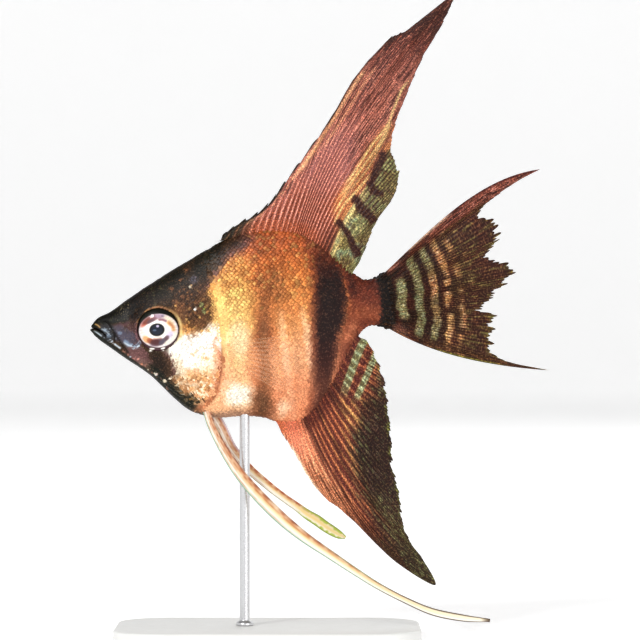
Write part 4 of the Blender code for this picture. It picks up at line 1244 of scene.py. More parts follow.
def make_fan(name, root_of, key_rays, rays, per_ray, rows, ends, spine_count, colours_of, sway, slot,
             material, seed, tears=()):
    """An upright fin: a thin two-sided sheet whose rays stand out of the membrane between them.

    Ends holds how deep, in hundredths, the membrane is notched between spines, between soft rays, and how
    far the soft rays' twigs are frayed. Tears are (ray, depth in hundredths).
    """
    random = np.random.default_rng(seed)
    columns = (rays - 1) * per_ray + 1
    ray = np.arange(columns) / per_ray
    key = ray / (rays - 1) * (len(key_rays) - 1)
    root_at, tip_s, tip_h, lean_root, lean_tip = smooth_row(key_rays, key)
    root, tip = root_of(root_at), np.stack((tip_s, tip_h))
    length = np.hypot(*(tip - root))
    nearest = np.round(ray).astype(int)
    offset = ray - nearest
    spines = fall(nearest, spine_count - 0.5, spine_count + 0.5)
    spine_notch, soft_notch, fray = ends
    twig = np.floor(4 * ray + 0.5).astype(int)
    twig_off = np.abs(4 * ray - twig)
    cut = (spine_notch * spines + soft_notch * (1 - spines)) * (2 * np.abs(offset)) ** 1.4
    frayed = random.uniform(0, 1, 4 * rays + 1)[twig] ** 1.5 + 0.5 * (2 * twig_off) ** 1.3
    cut += fray * frayed * (1 - spines) + 0.5 * soft_notch * random.uniform(0, 1, rays)[nearest]
    cut -= 0.8 * cut.mean() * (1 - spines)
    for place, depth in tears:
        cut += depth * bump(ray, place, 0.45)
    whole = ramp(np.minimum(ray, rays - 1 - ray), 0, 1.5) * ramp(np.abs(ray - ray[length.argmax()]), 0.4, 3)
    end = 1 - np.minimum(cut * whole / length, 0.3)
    share = np.linspace(-ROOT_SUNK / length, end, rows)
    s, h = ray_point(root, tip, lean_root, lean_tip, share)
    fork, second_fork = (0.36, 0.66) if spine_count else (0.1, 0.42)
    ridge = branches(offset[None], share, fork, second_fork, spines[None])
    along = share * length
    inner = share.clip(0, 1)

    half = HALF_WEB + HALF_ROOT * np.exp(-np.clip(along, 0, None) / ROOT_REACH)
    half = half + (RIDGE_ROOT * (1 - inner) ** 0.8 + RIDGE_TIP) * ridge
    half = half * (1 - 0.55 * ramp(share / end, 0.97, 1))
    middle = sway * np.sin(0.9 + 2.6 * key / key.max()) * inner**2
    middle = middle + 0.25 * sway * np.sin(9 * key / key.max()) * inner
    points, faces = two_sided(*[np.stack((s, middle + sign * half, h), -1) for sign in (1, -1)])

    map_across = MAP_EDGE + (0.5 - 2 * MAP_EDGE) * ray / (rays - 1)
    map_up = np.linspace(MAP_EDGE, 1 - MAP_EDGE, rows)
    flat = np.stack(np.meshgrid(map_across, map_up), -1)
    flat = np.concatenate((flat.reshape(-1, 2), flat.reshape(-1, 2) + (0.5, 0)))
    uvs = flat[faces]
    rim = 2 * (rows - 1) * (columns - 1)
    uvs[rim:] = flat[faces[rim:, [0, 0, 3, 3]]]
    colours = colours_of(np.broadcast_to(ray, s.shape), inner, along, s, h, ridge)
    forked = ramp(share, fork, fork + 0.3) * (1 - spines)
    numbers = [(label, np.concatenate((values.ravel(), values.ravel()))) for label, values in
               (("Ray", np.broadcast_to(ray, s.shape)), ("Along", along), ("Forked", forked))]
    made = make_mesh(name, to_frame(points), faces.tolist(), material, np.concatenate((colours, colours)),
                     uvs, numbers)
    face_out(made)
    place_on_frame(made, slot, name)


def root_beyond(profile, sign):
    """A function giving the points a hair clear of the back or belly at distances behind the snout."""
    def root(s):
        step = 0.5
        slope = (smooth_at(profile, s + step) - smooth_at(profile, s - step)) / (2 * step)
        normal = np.stack((-slope, np.ones_like(slope))) / np.hypot(slope, 1)
        return np.stack((s, smooth_at(profile, s))) + sign * mm(0.3) * normal
    return root


def to_tip(share, s, h):
    """How much of a ray is left past each of its places."""
    return (1 - share) * np.hypot(s[-1] - s[0], h[-1] - h[0])


DORSAL_STREAKS = (
    [(84.4, 30.0), (91.1, 38.2), (97.4, 44.4), (103.3, 52.6), (107.2, 58.0)],
    [(88.6, 39.4), (93.7, 44.4), (99.8, 52.3), (105.9, 58.8), (109.1, 65.0), (112.4, 71.1), (116.3, 74.8)],
    [(87.0, 35.4), (92.4, 41.3), (98.6, 48.2), (104.6, 55.6), (108.3, 61.0)],
    [(84.6, 26.8), (88.8, 33.2), (94.4, 38.6), (99.6, 43.8)],
)
WINDOW_EDGE = [
    (83.4, 18.5), (86.8, 25.7), (89.4, 30.2), (93.2, 35.0), (98.5, 41.0), (103.5, 48.5), (108.5, 53.5),
]
# Dark blotches along the window as (line, half width).
BLOTCHES = (
    ([(104.0, 49.4), (101.3, 44.6), (98.8, 39.6)], 1.2),
    ([(99.0, 39.6), (99.2, 37.6), (101.4, 36.4)], 1.0),
    ([(93.0, 35.4), (95.6, 31.2), (98.0, 28.0)], 1.4),
    ([(87.0, 27.8), (90.0, 22.8), (92.0, 16.8)], 1.0),
)
DORSAL_LINES = (
    ("peach", 0.85, [(74, 44.5), (81.6, 54.2), (90.4, 65.9), (96.6, 74.3), (100.9, 79)], 0.7),
    ("peach", 0.5, [(82.5, 52.0), (91.8, 63.4), (99.1, 73.3), (105, 80)], 0.4),
)
FRONT_EDGE = [
    (47.0, 27.2), (53.4, 31.3), (60, 34.3), (65.4, 38.4), (69.7, 43.4), (77.4, 52), (88, 64.4), (97.4, 77.2),
    (109.9, 88.6), (121, 96),
]


def dorsal_colours(ray, share, along, s, h, ridge):
    """Rose rays over a brown web, with an olive window and pale streaks behind it."""
    off, at, side = from_line(s, h, WINDOW_EDGE)
    past = np.where(side > 0, off, -off)
    zone = ramp(past, -7.5, -4.5) * ramp(share, 0.12, 0.3) * fall(h, 72, 78)
    tail = ramp(s, 74, 80) * fall(h - s, -64, -54)
    lines = grain(ray * 4.2, along / 7, 1, 42)
    rays_tone = coat(
        plain("rose", s),
        ("pink", 0.7 * fall(share, 0.15, 0.45)),
        ("mauve", 0.5 * ramp(lines, -0.1, 0.5) * ramp(share, 0.2, 0.4)),
        ("clay", 0.95 * ramp(h, 66, 88)),
        ("red_brown", 0.9 * ramp(h, 78, 92)),
        ("bar", 0.6 * ramp(h, 84, 98)),
        ("red_brown", 0.85 * tail),
        ("amber", 0.8 * zone),
    )
    web = coat(
        plain("red_brown", s),
        ("maroon", 0.2 * fall(share, 0.2, 0.35)),
        ("clay", 0.8 * ramp(share, 0.15, 0.45) + 0.3 * lines),
        ("mauve", 0.45 * patch(s, h, (86, 49), (7, 13), -35, 0.9)),
        ("maroon", ramp(h, 74, 92)),
        ("bar", 0.6 * ramp(h, 84, 98)),
        ("bar", 0.85 * tail),
        ("copper", 0.8 * zone),
    )
    colours = laid_over(web, rays_tone, ridge * (1 - 0.2 * ramp(share, 0.3, 0.7)))
    colours = coat(
        colours,
        ("rust", 0.45 * fall(along, 0.5, 4) * fall(s, 76, 84)),
        ("bar", 0.6 * ramp(lines, 0.1, 0.5) * ramp(share, 0.3, 0.5) * (1 - 0.6 * zone)),
        ("rose", 0.65 * flecks(ray * 5, along / 1.6, 1, 44, 0.4, 0.7) * ramp(share, 0.25, 0.5)),
        ("bar", 0.75 * ramp(h, 72, 94) * flecks(ray * 4.5, along / 3, 1, 43, -0.3, 0.4)),
    )
    glass = coat(
        plain("olive", s),
        ("moss", flecks(s, h, 3.5, 45, -0.4, 0.3)),
        ("teal", 0.55 * flecks(s, h, 2.2, 46, 0.1, 0.6) * fall(h, 26, 38)),
        ("umber", 0.85 * (1 - ridge) * ramp(share, 0.35, 0.6)),
        ("umber", 0.6 * ridge * fall(share, 0.3, 0.5) * flecks(s, h, 1.0, 47, -0.2, 0.6)),
        ("bar", 0.4 * flecks(ray * 3, along, 1.4, 48, 0.1, 0.6)),
        ("umber", 0.35 * (1 - ridge)),
        ("straw", 0.4 * flecks(ray * 5, along * 2, 1, 49, 0.25, 0.7)),
    )
    colours = laid_over(colours, glass, ramp(past, -0.2, 0.5) * fall(h, 57, 60))
    lit = bump(past, 0.9, 1.3) * (0.3 + 0.7 * ridge)
    colours = coat(colours, ("straw", 0.85 * lit * fall(at, 0.55, 0.7)))
    uneven = 0.5 * grain(s, h, 0.8, 50) + 0.3 * grain(s, h, 2, 52)
    for line, width in BLOTCHES:
        near = from_line(s, h, line)[0] + uneven
        colours = coat(colours, ("bar", 0.97 * fall(near, width - 0.5, width + 0.7)))
    for line in DORSAL_STREAKS:
        off, at, side = from_line(s, h, line)
        fade = ramp(at, 0, 0.15) * fall(at, 0.85, 1)
        colours = coat(
            colours,
            ("straw", 0.9 * fade * bump(off, 0, 0.46) * (0.8 + 0.2 * grain(s, h, 1.2, 53))),
            ("maroon", 0.4 * fade * bump(np.where(side > 0, off, -off), 1.2, 0.45)),
        )

    # Along the front: dark membrane between the spines' tips, and a pale dash behind each tip.
    edge, at, _ = from_line(s, h, FRONT_EDGE, 60)
    left = to_tip(share, s, h)
    dashes = flecks(edge, at * 46, 1, 59, -0.2, 0.4)
    return coat(
        colours,
        *marks(s, h, DORSAL_LINES),
        ("peach", 0.6 * dashes * bump(edge, 1.7, 0.5) * fall(at, 0.62, 0.72)),
        ("ink", 0.95 * fall(edge, 0.9 - 0.6 * ramp(at, 0.25, 0.5), 1.5 - 0.7 * ramp(at, 0.25, 0.5))
         * (1 - 0.7 * ramp(at, 0.6, 0.8))),
        ("black_green", 0.95 * fall(ray, 1.5, 5) * (1 - 0.35 * ridge)),
        ("bar", 0.75 * ramp(h, 60, 75) * fall(np.minimum(left, 8), 0.3, 1.5)),
    )


ANAL_BANDS = (
    [(92.4, -11.6), (89.6, -16.2), (86.0, -23.7), (82.4, -31.8)],
    [(95.4, -17.1), (92.3, -23.2), (89.0, -29.0), (86.4, -33.4)],
)
DARK_EDGE = [(98, -21), (92.6, -33), (88.6, -40), (85.5, -49), (87.5, -64), (95.5, -82)]


def anal_colours(ray, share, along, s, h, ridge):
    """Peach in front and nearly black behind, with green bands under the stalk."""
    off, _, side = from_line(s, h, DARK_EDGE)
    past = np.where(side < 0, off, -off) + 2.4 * grain(ray * 4, along / 6, 1, 54)
    dark = ramp(past, -4.0, 3.0)
    grainy = grain(ray * 4, along, 1.3, 51)
    lines = grain(ray * 2.6, along / 7, 1, 58)
    rays_tone = coat(
        plain("peach", s),
        ("salmon", 0.6 * ramp(share, 0.4, 0.7)),
        ("copper", 0.85 * ramp(ray, 7, 11)),
        ("tan", 0.6 * ramp(ray, 9, 13) * ramp(lines, -0.4, 0.3)),
        ("salmon", 0.5 * ramp(grainy, 0.2, 0.6) * ramp(ray, 6, 9)),
        ("olive", 0.8 * dark),
        ("black_green", 0.5 * dark),
        ("taupe", 0.6 * dark * flecks(ray * 3, along, 2.2, 55, 0, 0.6)),
    )
    web = coat(
        plain("salmon", s),
        ("red_brown", 0.6 * ramp(share, 0.2, 0.6)),
        ("maroon", 0.9 * ramp(ray, 6.5, 10)),
        ("ink", 0.95 * dark),
    )
    colours = laid_over(web, rays_tone, ridge * (0.9 - 0.45 * dark))
    colours = coat(
        colours,
        ("rust", 0.8 * fall(along, 0.5, 5) * fall(ray, 6, 9)),
        ("coral", 0.6 * fall(along, 3, 20) * bump(ray, 4.5, 4)),
        ("maroon", 0.6 * fall(along, 1, 5) * ramp(ray, 7, 9)),
        ("bar", 0.55 * ramp(lines, 0.1, 0.6) * ramp(ray, 5, 8)),
        ("gold", 0.5 * patch(s, h, (85.2, -36.6), (2.4, 5.6), 20, 1.0) * (0.25 + 0.75 * ridge)),
        ("tan", 0.5 * streak(s, h, [(83.0, -38.7), (83.6, -49), (85.6, -59.3)], 1.2) * (0.2 + 0.8 * ridge)),
        ("ink", 0.5 * dark * (1 - ridge)),
        # Painted glints: moss and taupe flecks on the rays of the dark part.
        ("moss", 0.75 * dark * ridge * flecks(ray * 4, along * 0.8, 1, 60, 0.2, 0.6)),
        ("taupe", 0.5 * dark * ridge * flecks(ray * 5, along / 2, 1, 64, 0.2, 0.6)),
        ("ink", 0.6 * ramp(past, 2, 8) * (1 - 0.5 * ridge)),
    )
    for line, width in zip(ANAL_BANDS, (1.15, 0.9)):
        near, at, _ = from_line(s, h, line)
        band = fall(near, width - 0.2, width + 0.5) * fall(at, 0.72, 1)
        colours = coat(
            colours,
            ("moss", 0.95 * band),
            ("teal", 0.35 * band * ridge),
            ("umber", 0.45 * band * fall(ridge, 0.3, 0.8)),
            ("cream", 0.2 * band * ridge),
        )
    between = from_line(s, h, [(94.2, -14.2), (91.0, -20.4), (87.6, -27.0), (84.2, -33)])[0]
    left = to_tip(share, s, h)
    return coat(
        colours,
        ("maroon", 0.8 * fall(between, 0.5, 1.2) * (1 - 0.4 * ridge)),
        ("lime", 0.35 * fall(left, 0.4, 3) * ramp(ray, 9, 12) * ramp(grainy, -0.2, 0.4)),
        ("bar", 0.7 * ramp(-h, 64, 82) * (1 - 0.7 * ridge)),
        ("black_green", 0.85 * ramp(-h, 72, 88) * (1 - 0.3 * ridge)),
        ("olive", 0.2 * ramp(-h, 60, 78) * dark),
        # Painted glints: moss flecks towards the dark tip.
        ("moss", 0.55 * ramp(-h, 56, 76) * dark * flecks(ray * 7, along, 1, 85, 0.1, 0.5)),
        ("cream", 0.75 * streak(s, h, [(63.4, -44.6), (66.2, -50.8), (69.3, -57.6), (72.6, -63.2)], 0.55)),
        ("cream", 0.7 * fall(ray, 4.5, 6.5) * bump(left, 2.2, 0.9) * ramp(ridge, 0.4, 0.9)),
        ("umber", 0.9 * fall(ray, 2.5, 4.5) * fall(left, 0.9, 1.8)),
        ("umber", 0.6 * streak(s, h, [(72, -64.5), (82.5, -73.4), (95.0, -88.4), (105, -95.6)], 0.5)),
    )


BAND_START, BAND_STEP = 5.2, 6.6


def caudal_colours(ray, share, along, s, h, ridge):
    """Dark, with broken bands across the rays: green near the stalk and tan further out."""
    outer = ramp(along, 15, 25)
    rays_tone = coat(
        plain("brown", s),
        ("red_brown", 0.6 * (1 - outer)),
        # Painted glints: tan flecks on the outer rays.
        ("tan", 0.8 * outer * flecks(ray * 4, along, 1.5, 61, 0.1, 0.6)),
        ("olive", 0.55 * outer * flecks(ray, along / 3, 1.5, 65, -0.3, 0.4)),
        ("salmon", 0.6 * fall(ray, 2.0, 4.0) * ramp(along, 10, 20)),
    )
    web = coat(plain("bar", s), ("ink", 0.85 * flecks(ray, along, 2, 62, -0.5, 0.3)))
    colours = laid_over(web, rays_tone, ridge * (0.18 + 0.24 * outer))

    bend = 0.1 * grain(ray, along * 0, 2.5, 66) + 0.05 * grain(ray * 3, along, 1, 71)
    cycle = (along - BAND_START) / BAND_STEP * (1 + 0.0155 * (along - BAND_START)) + bend
    number = np.round(cycle)
    between = fall(np.abs(cycle - number) + 0.05 * grain(ray * 4, along, 0.9, 78), 0.15, 0.34)
    torn = grain(ray * 1.6, number * 3.7 + along / 5, 0.8, 63)
    shown = between * ramp(torn, -2.3 + 0.44 * number, -1.6 + 0.44 * number)
    shown = shown * (number >= 0) * fall(number, 4.6, 5.4) * (1 - 0.25 * ridge)
    pieces = flecks(ray * 1.3, number * 5.1 + along / 4, 1, 81, -0.7, -0.1)
    shown = shown * (1 - ramp(number, 1.6, 2.6) * (1 - pieces))
    oval = ramp(ray, 3.4, 4.8) * fall(ray, 12.2, 13.6)
    shown = shown * np.where(number == 0, oval, ramp(ray, 1.2, 2.0) * fall(ray, 14.6, 15.6))
    warm = ramp(number + 0.4 * grain(ray, number * 2.3, 1.4, 67) - 0.2 * np.abs(ray - 8), 0.9, 2.2)
    dim = 1 - 0.4 * ramp(number, 2.5, 5)
    colours = coat(
        colours,
        ("moss", shown * (1 - warm) * dim),
        ("teal", 0.3 * shown * (1 - warm) * flecks(ray, along, 1.2, 68, 0, 0.6)),
        ("tan", 0.97 * shown * warm * dim),
        ("peach", 0.4 * shown * warm * dim * ridge),
        ("salmon", 0.55 * shown * warm * flecks(ray, along, 1.4, 70, 0.2, 0.6)),
        ("umber", 0.5 * shown * flecks(ray * 4, along * 1.3, 1.0, 69, 0.1, 0.6)),
        ("bar", 0.35 * shown * fall(ridge, 0.2, 0.7)),
        ("cream", 0.45 * shown * ridge * flecks(ray * 3, along, 1.0, 80, 0.1, 0.5)),
        ("straw", 0.35 * shown * flecks(ray * 5, along * 2, 1.0, 77, 0.3, 0.7)),
        ("ink", 0.97 * fall(along, 2.3, 3.4)),
        ("bar", 0.7 * ramp(along, 22, 32) * (1 - 0.7 * ridge)),
        ("olive", 0.6 * ramp(along, 22, 30) * flecks(ray * 6, along / 2.5, 1, 79, 0.2, 0.6)),
    )
    corner = fall(along, 5, 9) * ramp(along, 0.8, 2.0)
    upper = fall(ray, 1.0, 2.4)
    left = to_tip(share, s, h)
    return coat(
        colours,
        ("rose", 0.6 * corner * fall(ray, 0.8, 2.4) + 0.3 * corner * ramp(ray, 13.8, 15)),
        ("red_brown", 0.6 * upper * ramp(along, 6, 14)),
        ("clay", 0.75 * upper * ramp(along, 16, 30) * (0.5 + 0.5 * ridge)),
        ("bar", 0.9 * upper * flecks(ray * 5, along / 3, 0.9, 74, 0.0, 0.5)),
        ("pink", 0.6 * upper * flecks(ray * 6, along / 1.2, 0.8, 75, 0.3, 0.6) * ramp(along, 12, 24)),
        ("maroon", 0.9 * fall(ray, 0.1, 0.35) * ramp(along, 20, 26)),
        ("cream", 0.5 * fall(ray, 0.15, 0.5) * ramp(along, 8, 14) * fall(along, 26, 32)),
        ("umber", 0.75 * ramp(ray, 14.4, 15.2) * ramp(along, 8, 16)),
        ("brown", 0.7 * ramp(ray, 14.6, 15.4) * flecks(ray * 5, along / 2, 0.9, 76, 0.0, 0.5)),
        ("lime", 0.4 * ramp(ray, 15.7, 15.95) * ramp(along, 14, 22) * fall(along, 34, 46)),
        ("bar", 0.8 * ramp(left, 0, 20) * ramp(ray, 15.2, 15.9) * ramp(along, 36, 48)),
        ("lime", 0.3 * fall(left, 0.3, 3) * ridge * ramp(ray, 2, 3)),
    )


def make_upright_fins(settings):
    """The dorsal, anal and tail fins."""
    material = fin_material()
    sway, per_ray = settings.sway / UNIT, settings.per_ray

    def tail_root(h):
        return np.stack((np.full_like(h, 100) + mm(0.3), h))

    make_fan("dorsal_fin", root_beyond(BACK, 1), DORSAL_RAYS, 34, per_ray, 118, (3.2, 0.8, 1.0), 9,
             dorsal_colours, sway, "maroon_rays", material, 71)
    make_fan("anal_fin", root_beyond(BELLY, -1), ANAL_RAYS, 27, per_ray, 112, (2.4, 0.9, 1.2), 5,
             anal_colours, -sway, "maroon_rays", material, 72)
    make_fan("caudal_fin", tail_root, CAUDAL_RAYS, 17, per_ray + 6, 120, (0, 1.4, 2.4), 0,
             caudal_colours, 0.8 * sway, "brown_green_rays", material, 73,
             [(3.3, 1.5), (6.6, 3.0), (9.5, 1.0), (11.2, 1.5)])


# ---- Paired fins ----

PECTORAL_ROOT = [(45.6, -9.4), (46.0, -12.4), (46.0, -15.6)]
PECTORAL_LENGTH = 24
PECTORAL_LEAN = (4, -36)
PECTORAL_SPLAY = math.radians(24)
PECTORAL_RAYS = 11

LEFT_PELVIC = [
    (36.7, -31.5, 2.4), (37.9, -36.6, 2.8), (41.4, -45.1, 4.2), (46.2, -53.8, 5.6), (52.1, -61.9, 6.8),
    (58.8, -69.7, 7.6), (65.9, -76.6, 8.2), (73.6, -82.9, 8.6), (81.5, -89.3, 8.8), (89.2, -95.2, 8.7),
    (97.6, -100.6, 8.3), (106.3, -105.3, 7.6), (116.2, -108.4, 6.4), (125.3, -110.2, 5.0),
]
RIGHT_PELVIC = [
    (38.5, -32.0, 2.4), (41.1, -37.4, 3.0), (43.6, -44.2, 4.2), (46.9, -49.6, 5.4), (49.9, -53.6, 6.4),
    (53.8, -57.7, 7.6), (56.9, -60.8, 8.5), (60.8, -64.3, 9.3), (64.0, -67.0, 9.8), (67.2, -69.9, 10.2),
    (70.4, -72.3, 10.5), (73.5, -75.0, 10.8), (77.2, -77.7, 11.1), (79.5, -79.0, 11.2),
]
LEFT_BREADTH = [
    (0, 0.0018), (0.12, 0.0020), (0.25, 0.0027), (0.38, 0.0029), (0.5, 0.0023), (0.62, 0.0018),
    (0.75, 0.0015), (0.93, 0.0016), (1, 0.0008),
]
RIGHT_BREADTH = [(0, 0.0024), (0.3, 0.0022), (0.6, 0.0020), (0.8, 0.0026), (0.92, 0.0021), (1, 0.0007)]
PELVIC_THICKNESS = [(0, 0.0011), (0.3, 0.0009), (0.7, 0.0007), (1, 0.0005)]


def two_sided(front, back):
    """Points and faces of a thin closed sheet between two grids."""
    rows, columns = front.shape[:2]
    count = rows * columns
    points = np.concatenate((front.reshape(-1, 3), back.reshape(-1, 3)))
    face, _, _ = quads(rows, columns)
    border = np.concatenate((np.arange(columns), columns * np.arange(1, rows) + columns - 1,
                             count - 2 - np.arange(columns - 1), columns * np.arange(rows - 2, 0, -1)))
    following = np.roll(border, -1)
    rim = np.stack((border, border + count, following + count, following), -1)
    return points, np.concatenate((face, face[:, ::-1] + count, rim))


def make_pectoral(name, side, material):
    """A nearly clear fan of fine rays held out behind the gill cover."""
    per_ray, rows = 10, 60
    columns = (PECTORAL_RAYS - 1) * per_ray + 1
    across = np.linspace(0, 1, columns)
    ray = across * (PECTORAL_RAYS - 1)
    offset = ray - np.round(ray)
    root_s, root_h = smooth_row(PECTORAL_ROOT, across * (len(PECTORAL_ROOT) - 1))
    lean = np.radians(PECTORAL_LEAN[0] + (PECTORAL_LEAN[1] - PECTORAL_LEAN[0]) * across)
    length = PECTORAL_LENGTH * (0.72 + 0.28 * np.sin(math.pi * (0.15 + 0.7 * across)))
    length = length - 0.7 * (2 * np.abs(offset)) ** 1.5
    share = np.linspace(-0.05, 1, rows)[:, None]
    run = length * share
    start = np.abs(skin_at(root_s, lined(root_s, root_h), 1)[:, 1])
    out = start + run * math.sin(PECTORAL_SPLAY) * (1 - 0.25 * share)
    place = [root_s + run * np.cos(lean), out, root_h + run * np.sin(lean)]
    ridge = branches(offset[None], share, 0.5, 0.8, np.zeros(1))
    half = mm(0.035) + mm(0.16) * ridge * (1 - 0.75 * share.clip(0, 1))
    grids = [np.stack((place[0], side * (place[1] + sign * half), place[2]), -1) for sign in (1, -1)]
    points, faces = two_sided(*grids)
    colours = np.tile(tone("peach"), (len(points), 1))
    strength = (0.015 + 0.13 * ridge * (1 - 0.5 * share.clip(0, 1)) + 0.3 * fall(share, 0.0, 0.12)).ravel()
    made = make_mesh(name, to_frame(points), faces.tolist(), material, colours,
                     numbers=[("Cover", np.concatenate((strength, strength)))])
    face_out(made)
    place_on_frame(made, "clear_rays", name)


def pectoral_material():
    """Peach rays in a nearly clear membrane, as thick as the Cover value says."""
    tree = Tree("clear_fin")
    cover = tree.attribute("Cover")
    tree.finish(Base_Color=linear("peach"), Roughness=0.3)
    tree.put(tree.shader.inputs["Alpha"], cover)
    return tree.material


def make_pelvic(name, side, line, breadths, material):
    """A long feeler: a stiff leading ray with softer ones beside it, tapering to a thread."""
    steps, around = 300, 36
    t = np.linspace(0, 1, steps)
    reach = len(line) - 1
    place = np.stack(smooth_row(line, t * reach), -1)
    run = np.stack(smooth_row(line, np.minimum(t + 0.01, 1) * reach), -1)
    run = run - np.stack(smooth_row(line, np.maximum(t - 0.01, 0) * reach), -1)
    run /= np.linalg.norm(run, axis=1, keepdims=True)
    across = np.stack((-run[:, 1], run[:, 0], 0 * t), -1) / np.hypot(run[:, 0], run[:, 1])[:, None]
    out = np.cross(run, across)
    breadth = smooth_at(breadths, t) / 2 / UNIT
    thick = smooth_at(PELVIC_THICKNESS, t) / 2 / UNIT
    turn = np.linspace(0, 2 * math.pi, around, endpoint=False)
    cos, sin = np.cos(turn), np.sin(turn)
    furrow = 1 - 0.22 * (0.5 + 0.5 * np.cos(5 * math.pi * cos)) * fall(t, 0.55, 0.8)[:, None]
    point = place[:, None] + (breadth[:, None] * cos)[..., None] * across[:, None]
    point = point + (thick[:, None] * sin * furrow)[..., None] * out[:, None]
    ring = point[..., [0, 2, 1]]
    ring[..., 1] *= side
    faces = sheet(steps, around, closed=True)

    # Up is 1 along the edge towards the belly and -1 along the leading edge.
    up = np.broadcast_to(cos, (steps, around))
    along = np.broadcast_to(t[:, None], (steps, around))
    worn = 0.6 + 0.4 * grain(along * 90, up * 3, 1, 81)
    root = fall(along, 0.1, 0.4)
    colours = coat(
        plain("cream", up),
        ("straw", 0.5 * bump(up, 0.0, 0.45) * ramp(along, 0.12, 0.3) * fall(along, 0.75, 0.95)),
        ("white", 0.9 * bump(up, -0.5, 0.36)),
        ("copper", 0.95 * worn * bump(up, 0.08, 0.15) * root),
        ("rust", 0.95 * worn * bump(up, 0.36, 0.16) * fall(along, 0.35, 0.65)),
        ("copper", worn * bump(up, 0.64, 0.2) * fall(along, 0.6, 0.85)),
        ("copper", 0.8 * worn * root * bump(up, -0.2, 0.1)),
        ("copper", 0.8 * worn * bump(up, -0.64, 0.12) * fall(along, 0.3, 0.5)),
        ("tan", 0.7 * worn * bump(up, 0.3, 0.2) * bump(along, 0.45, 0.25)),
    )
    if name.endswith("right"):
        tip = ramp(along, 0.6, 0.72)
        colours = coat(
            colours,
            ("lilac", 0.7 * bump(up, 0.8, 0.2) * fall(along, 0.2, 0.3)),
            ("rust", 0.95 * worn * ramp(up, 0.4, 0.75) * ramp(along, 0.15, 0.25) * (1 - tip)),
            ("olive", 0.7 * ramp(-up, 0.75, 0.95) * (1 - tip)),
            ("lime", 0.9 * ramp(np.abs(up) + 0.25 * grain(along * 70, up * 2, 1, 82), 0.4, 0.7) * tip),
            ("moss", 0.7 * ramp(np.abs(up), 0.75, 0.9) * tip),
            ("straw", 0.9 * bump(up, 0, 0.35) * ramp(along, 0.5, 0.7)),
        )
    else:
        end = ramp(along, 0.62, 0.8)
        colours = coat(
            colours,
            ("red_brown", 0.95 * worn * ramp(up, 0.66, 0.86) * fall(along, 0.55, 0.65)),
            ("moss", 0.8 * ramp(up, 0.6, 0.85) * bump(along, 0.65, 0.12)),
            ("umber", 0.8 * ramp(up, 0.55, 0.8) * end),
            ("teal", 0.9 * ramp(-up, 0.7, 0.86) * (1 - end)),
            ("umber", 0.95 * ramp(-up, 0.62, 0.82) * end),
            ("umber", 0.8 * ramp(along, 0.97, 1.0)),
        )
    made = make_mesh(name, to_frame(ring), faces + end_caps(steps, around), material,
                     colours.reshape(-1, 3))
    face_out(made)
    place_on_frame(made, "cream_feelers", name)


# ---- Stand and stage ----

CORNER_STEPS = 16
# The rod's collar as (radius over the rod's, height over the base).
ROD_COLLAR = [(1, 0), (1.7, 0.0001), (1.75, 0.0004), (1.6, 0.0009), (1.02, 0.0012), (1, 0.0014)]
ROD_SUNK = 0.001  # how far the rod's finish ends below its solid's top, inside the body
ROD_SIDES = 48

FLOOR_DROP = 0.00005  # the floor lies this far under the base
FLOOR_RADIUS, FLOOR_BEND, WALL_TOP, FLOOR_SIDES = 3.0, 1.0, 2.4, 96
SENSOR_WIDTH = 36  # the camera's, in millimetres
CLIP = (0.01, 20)


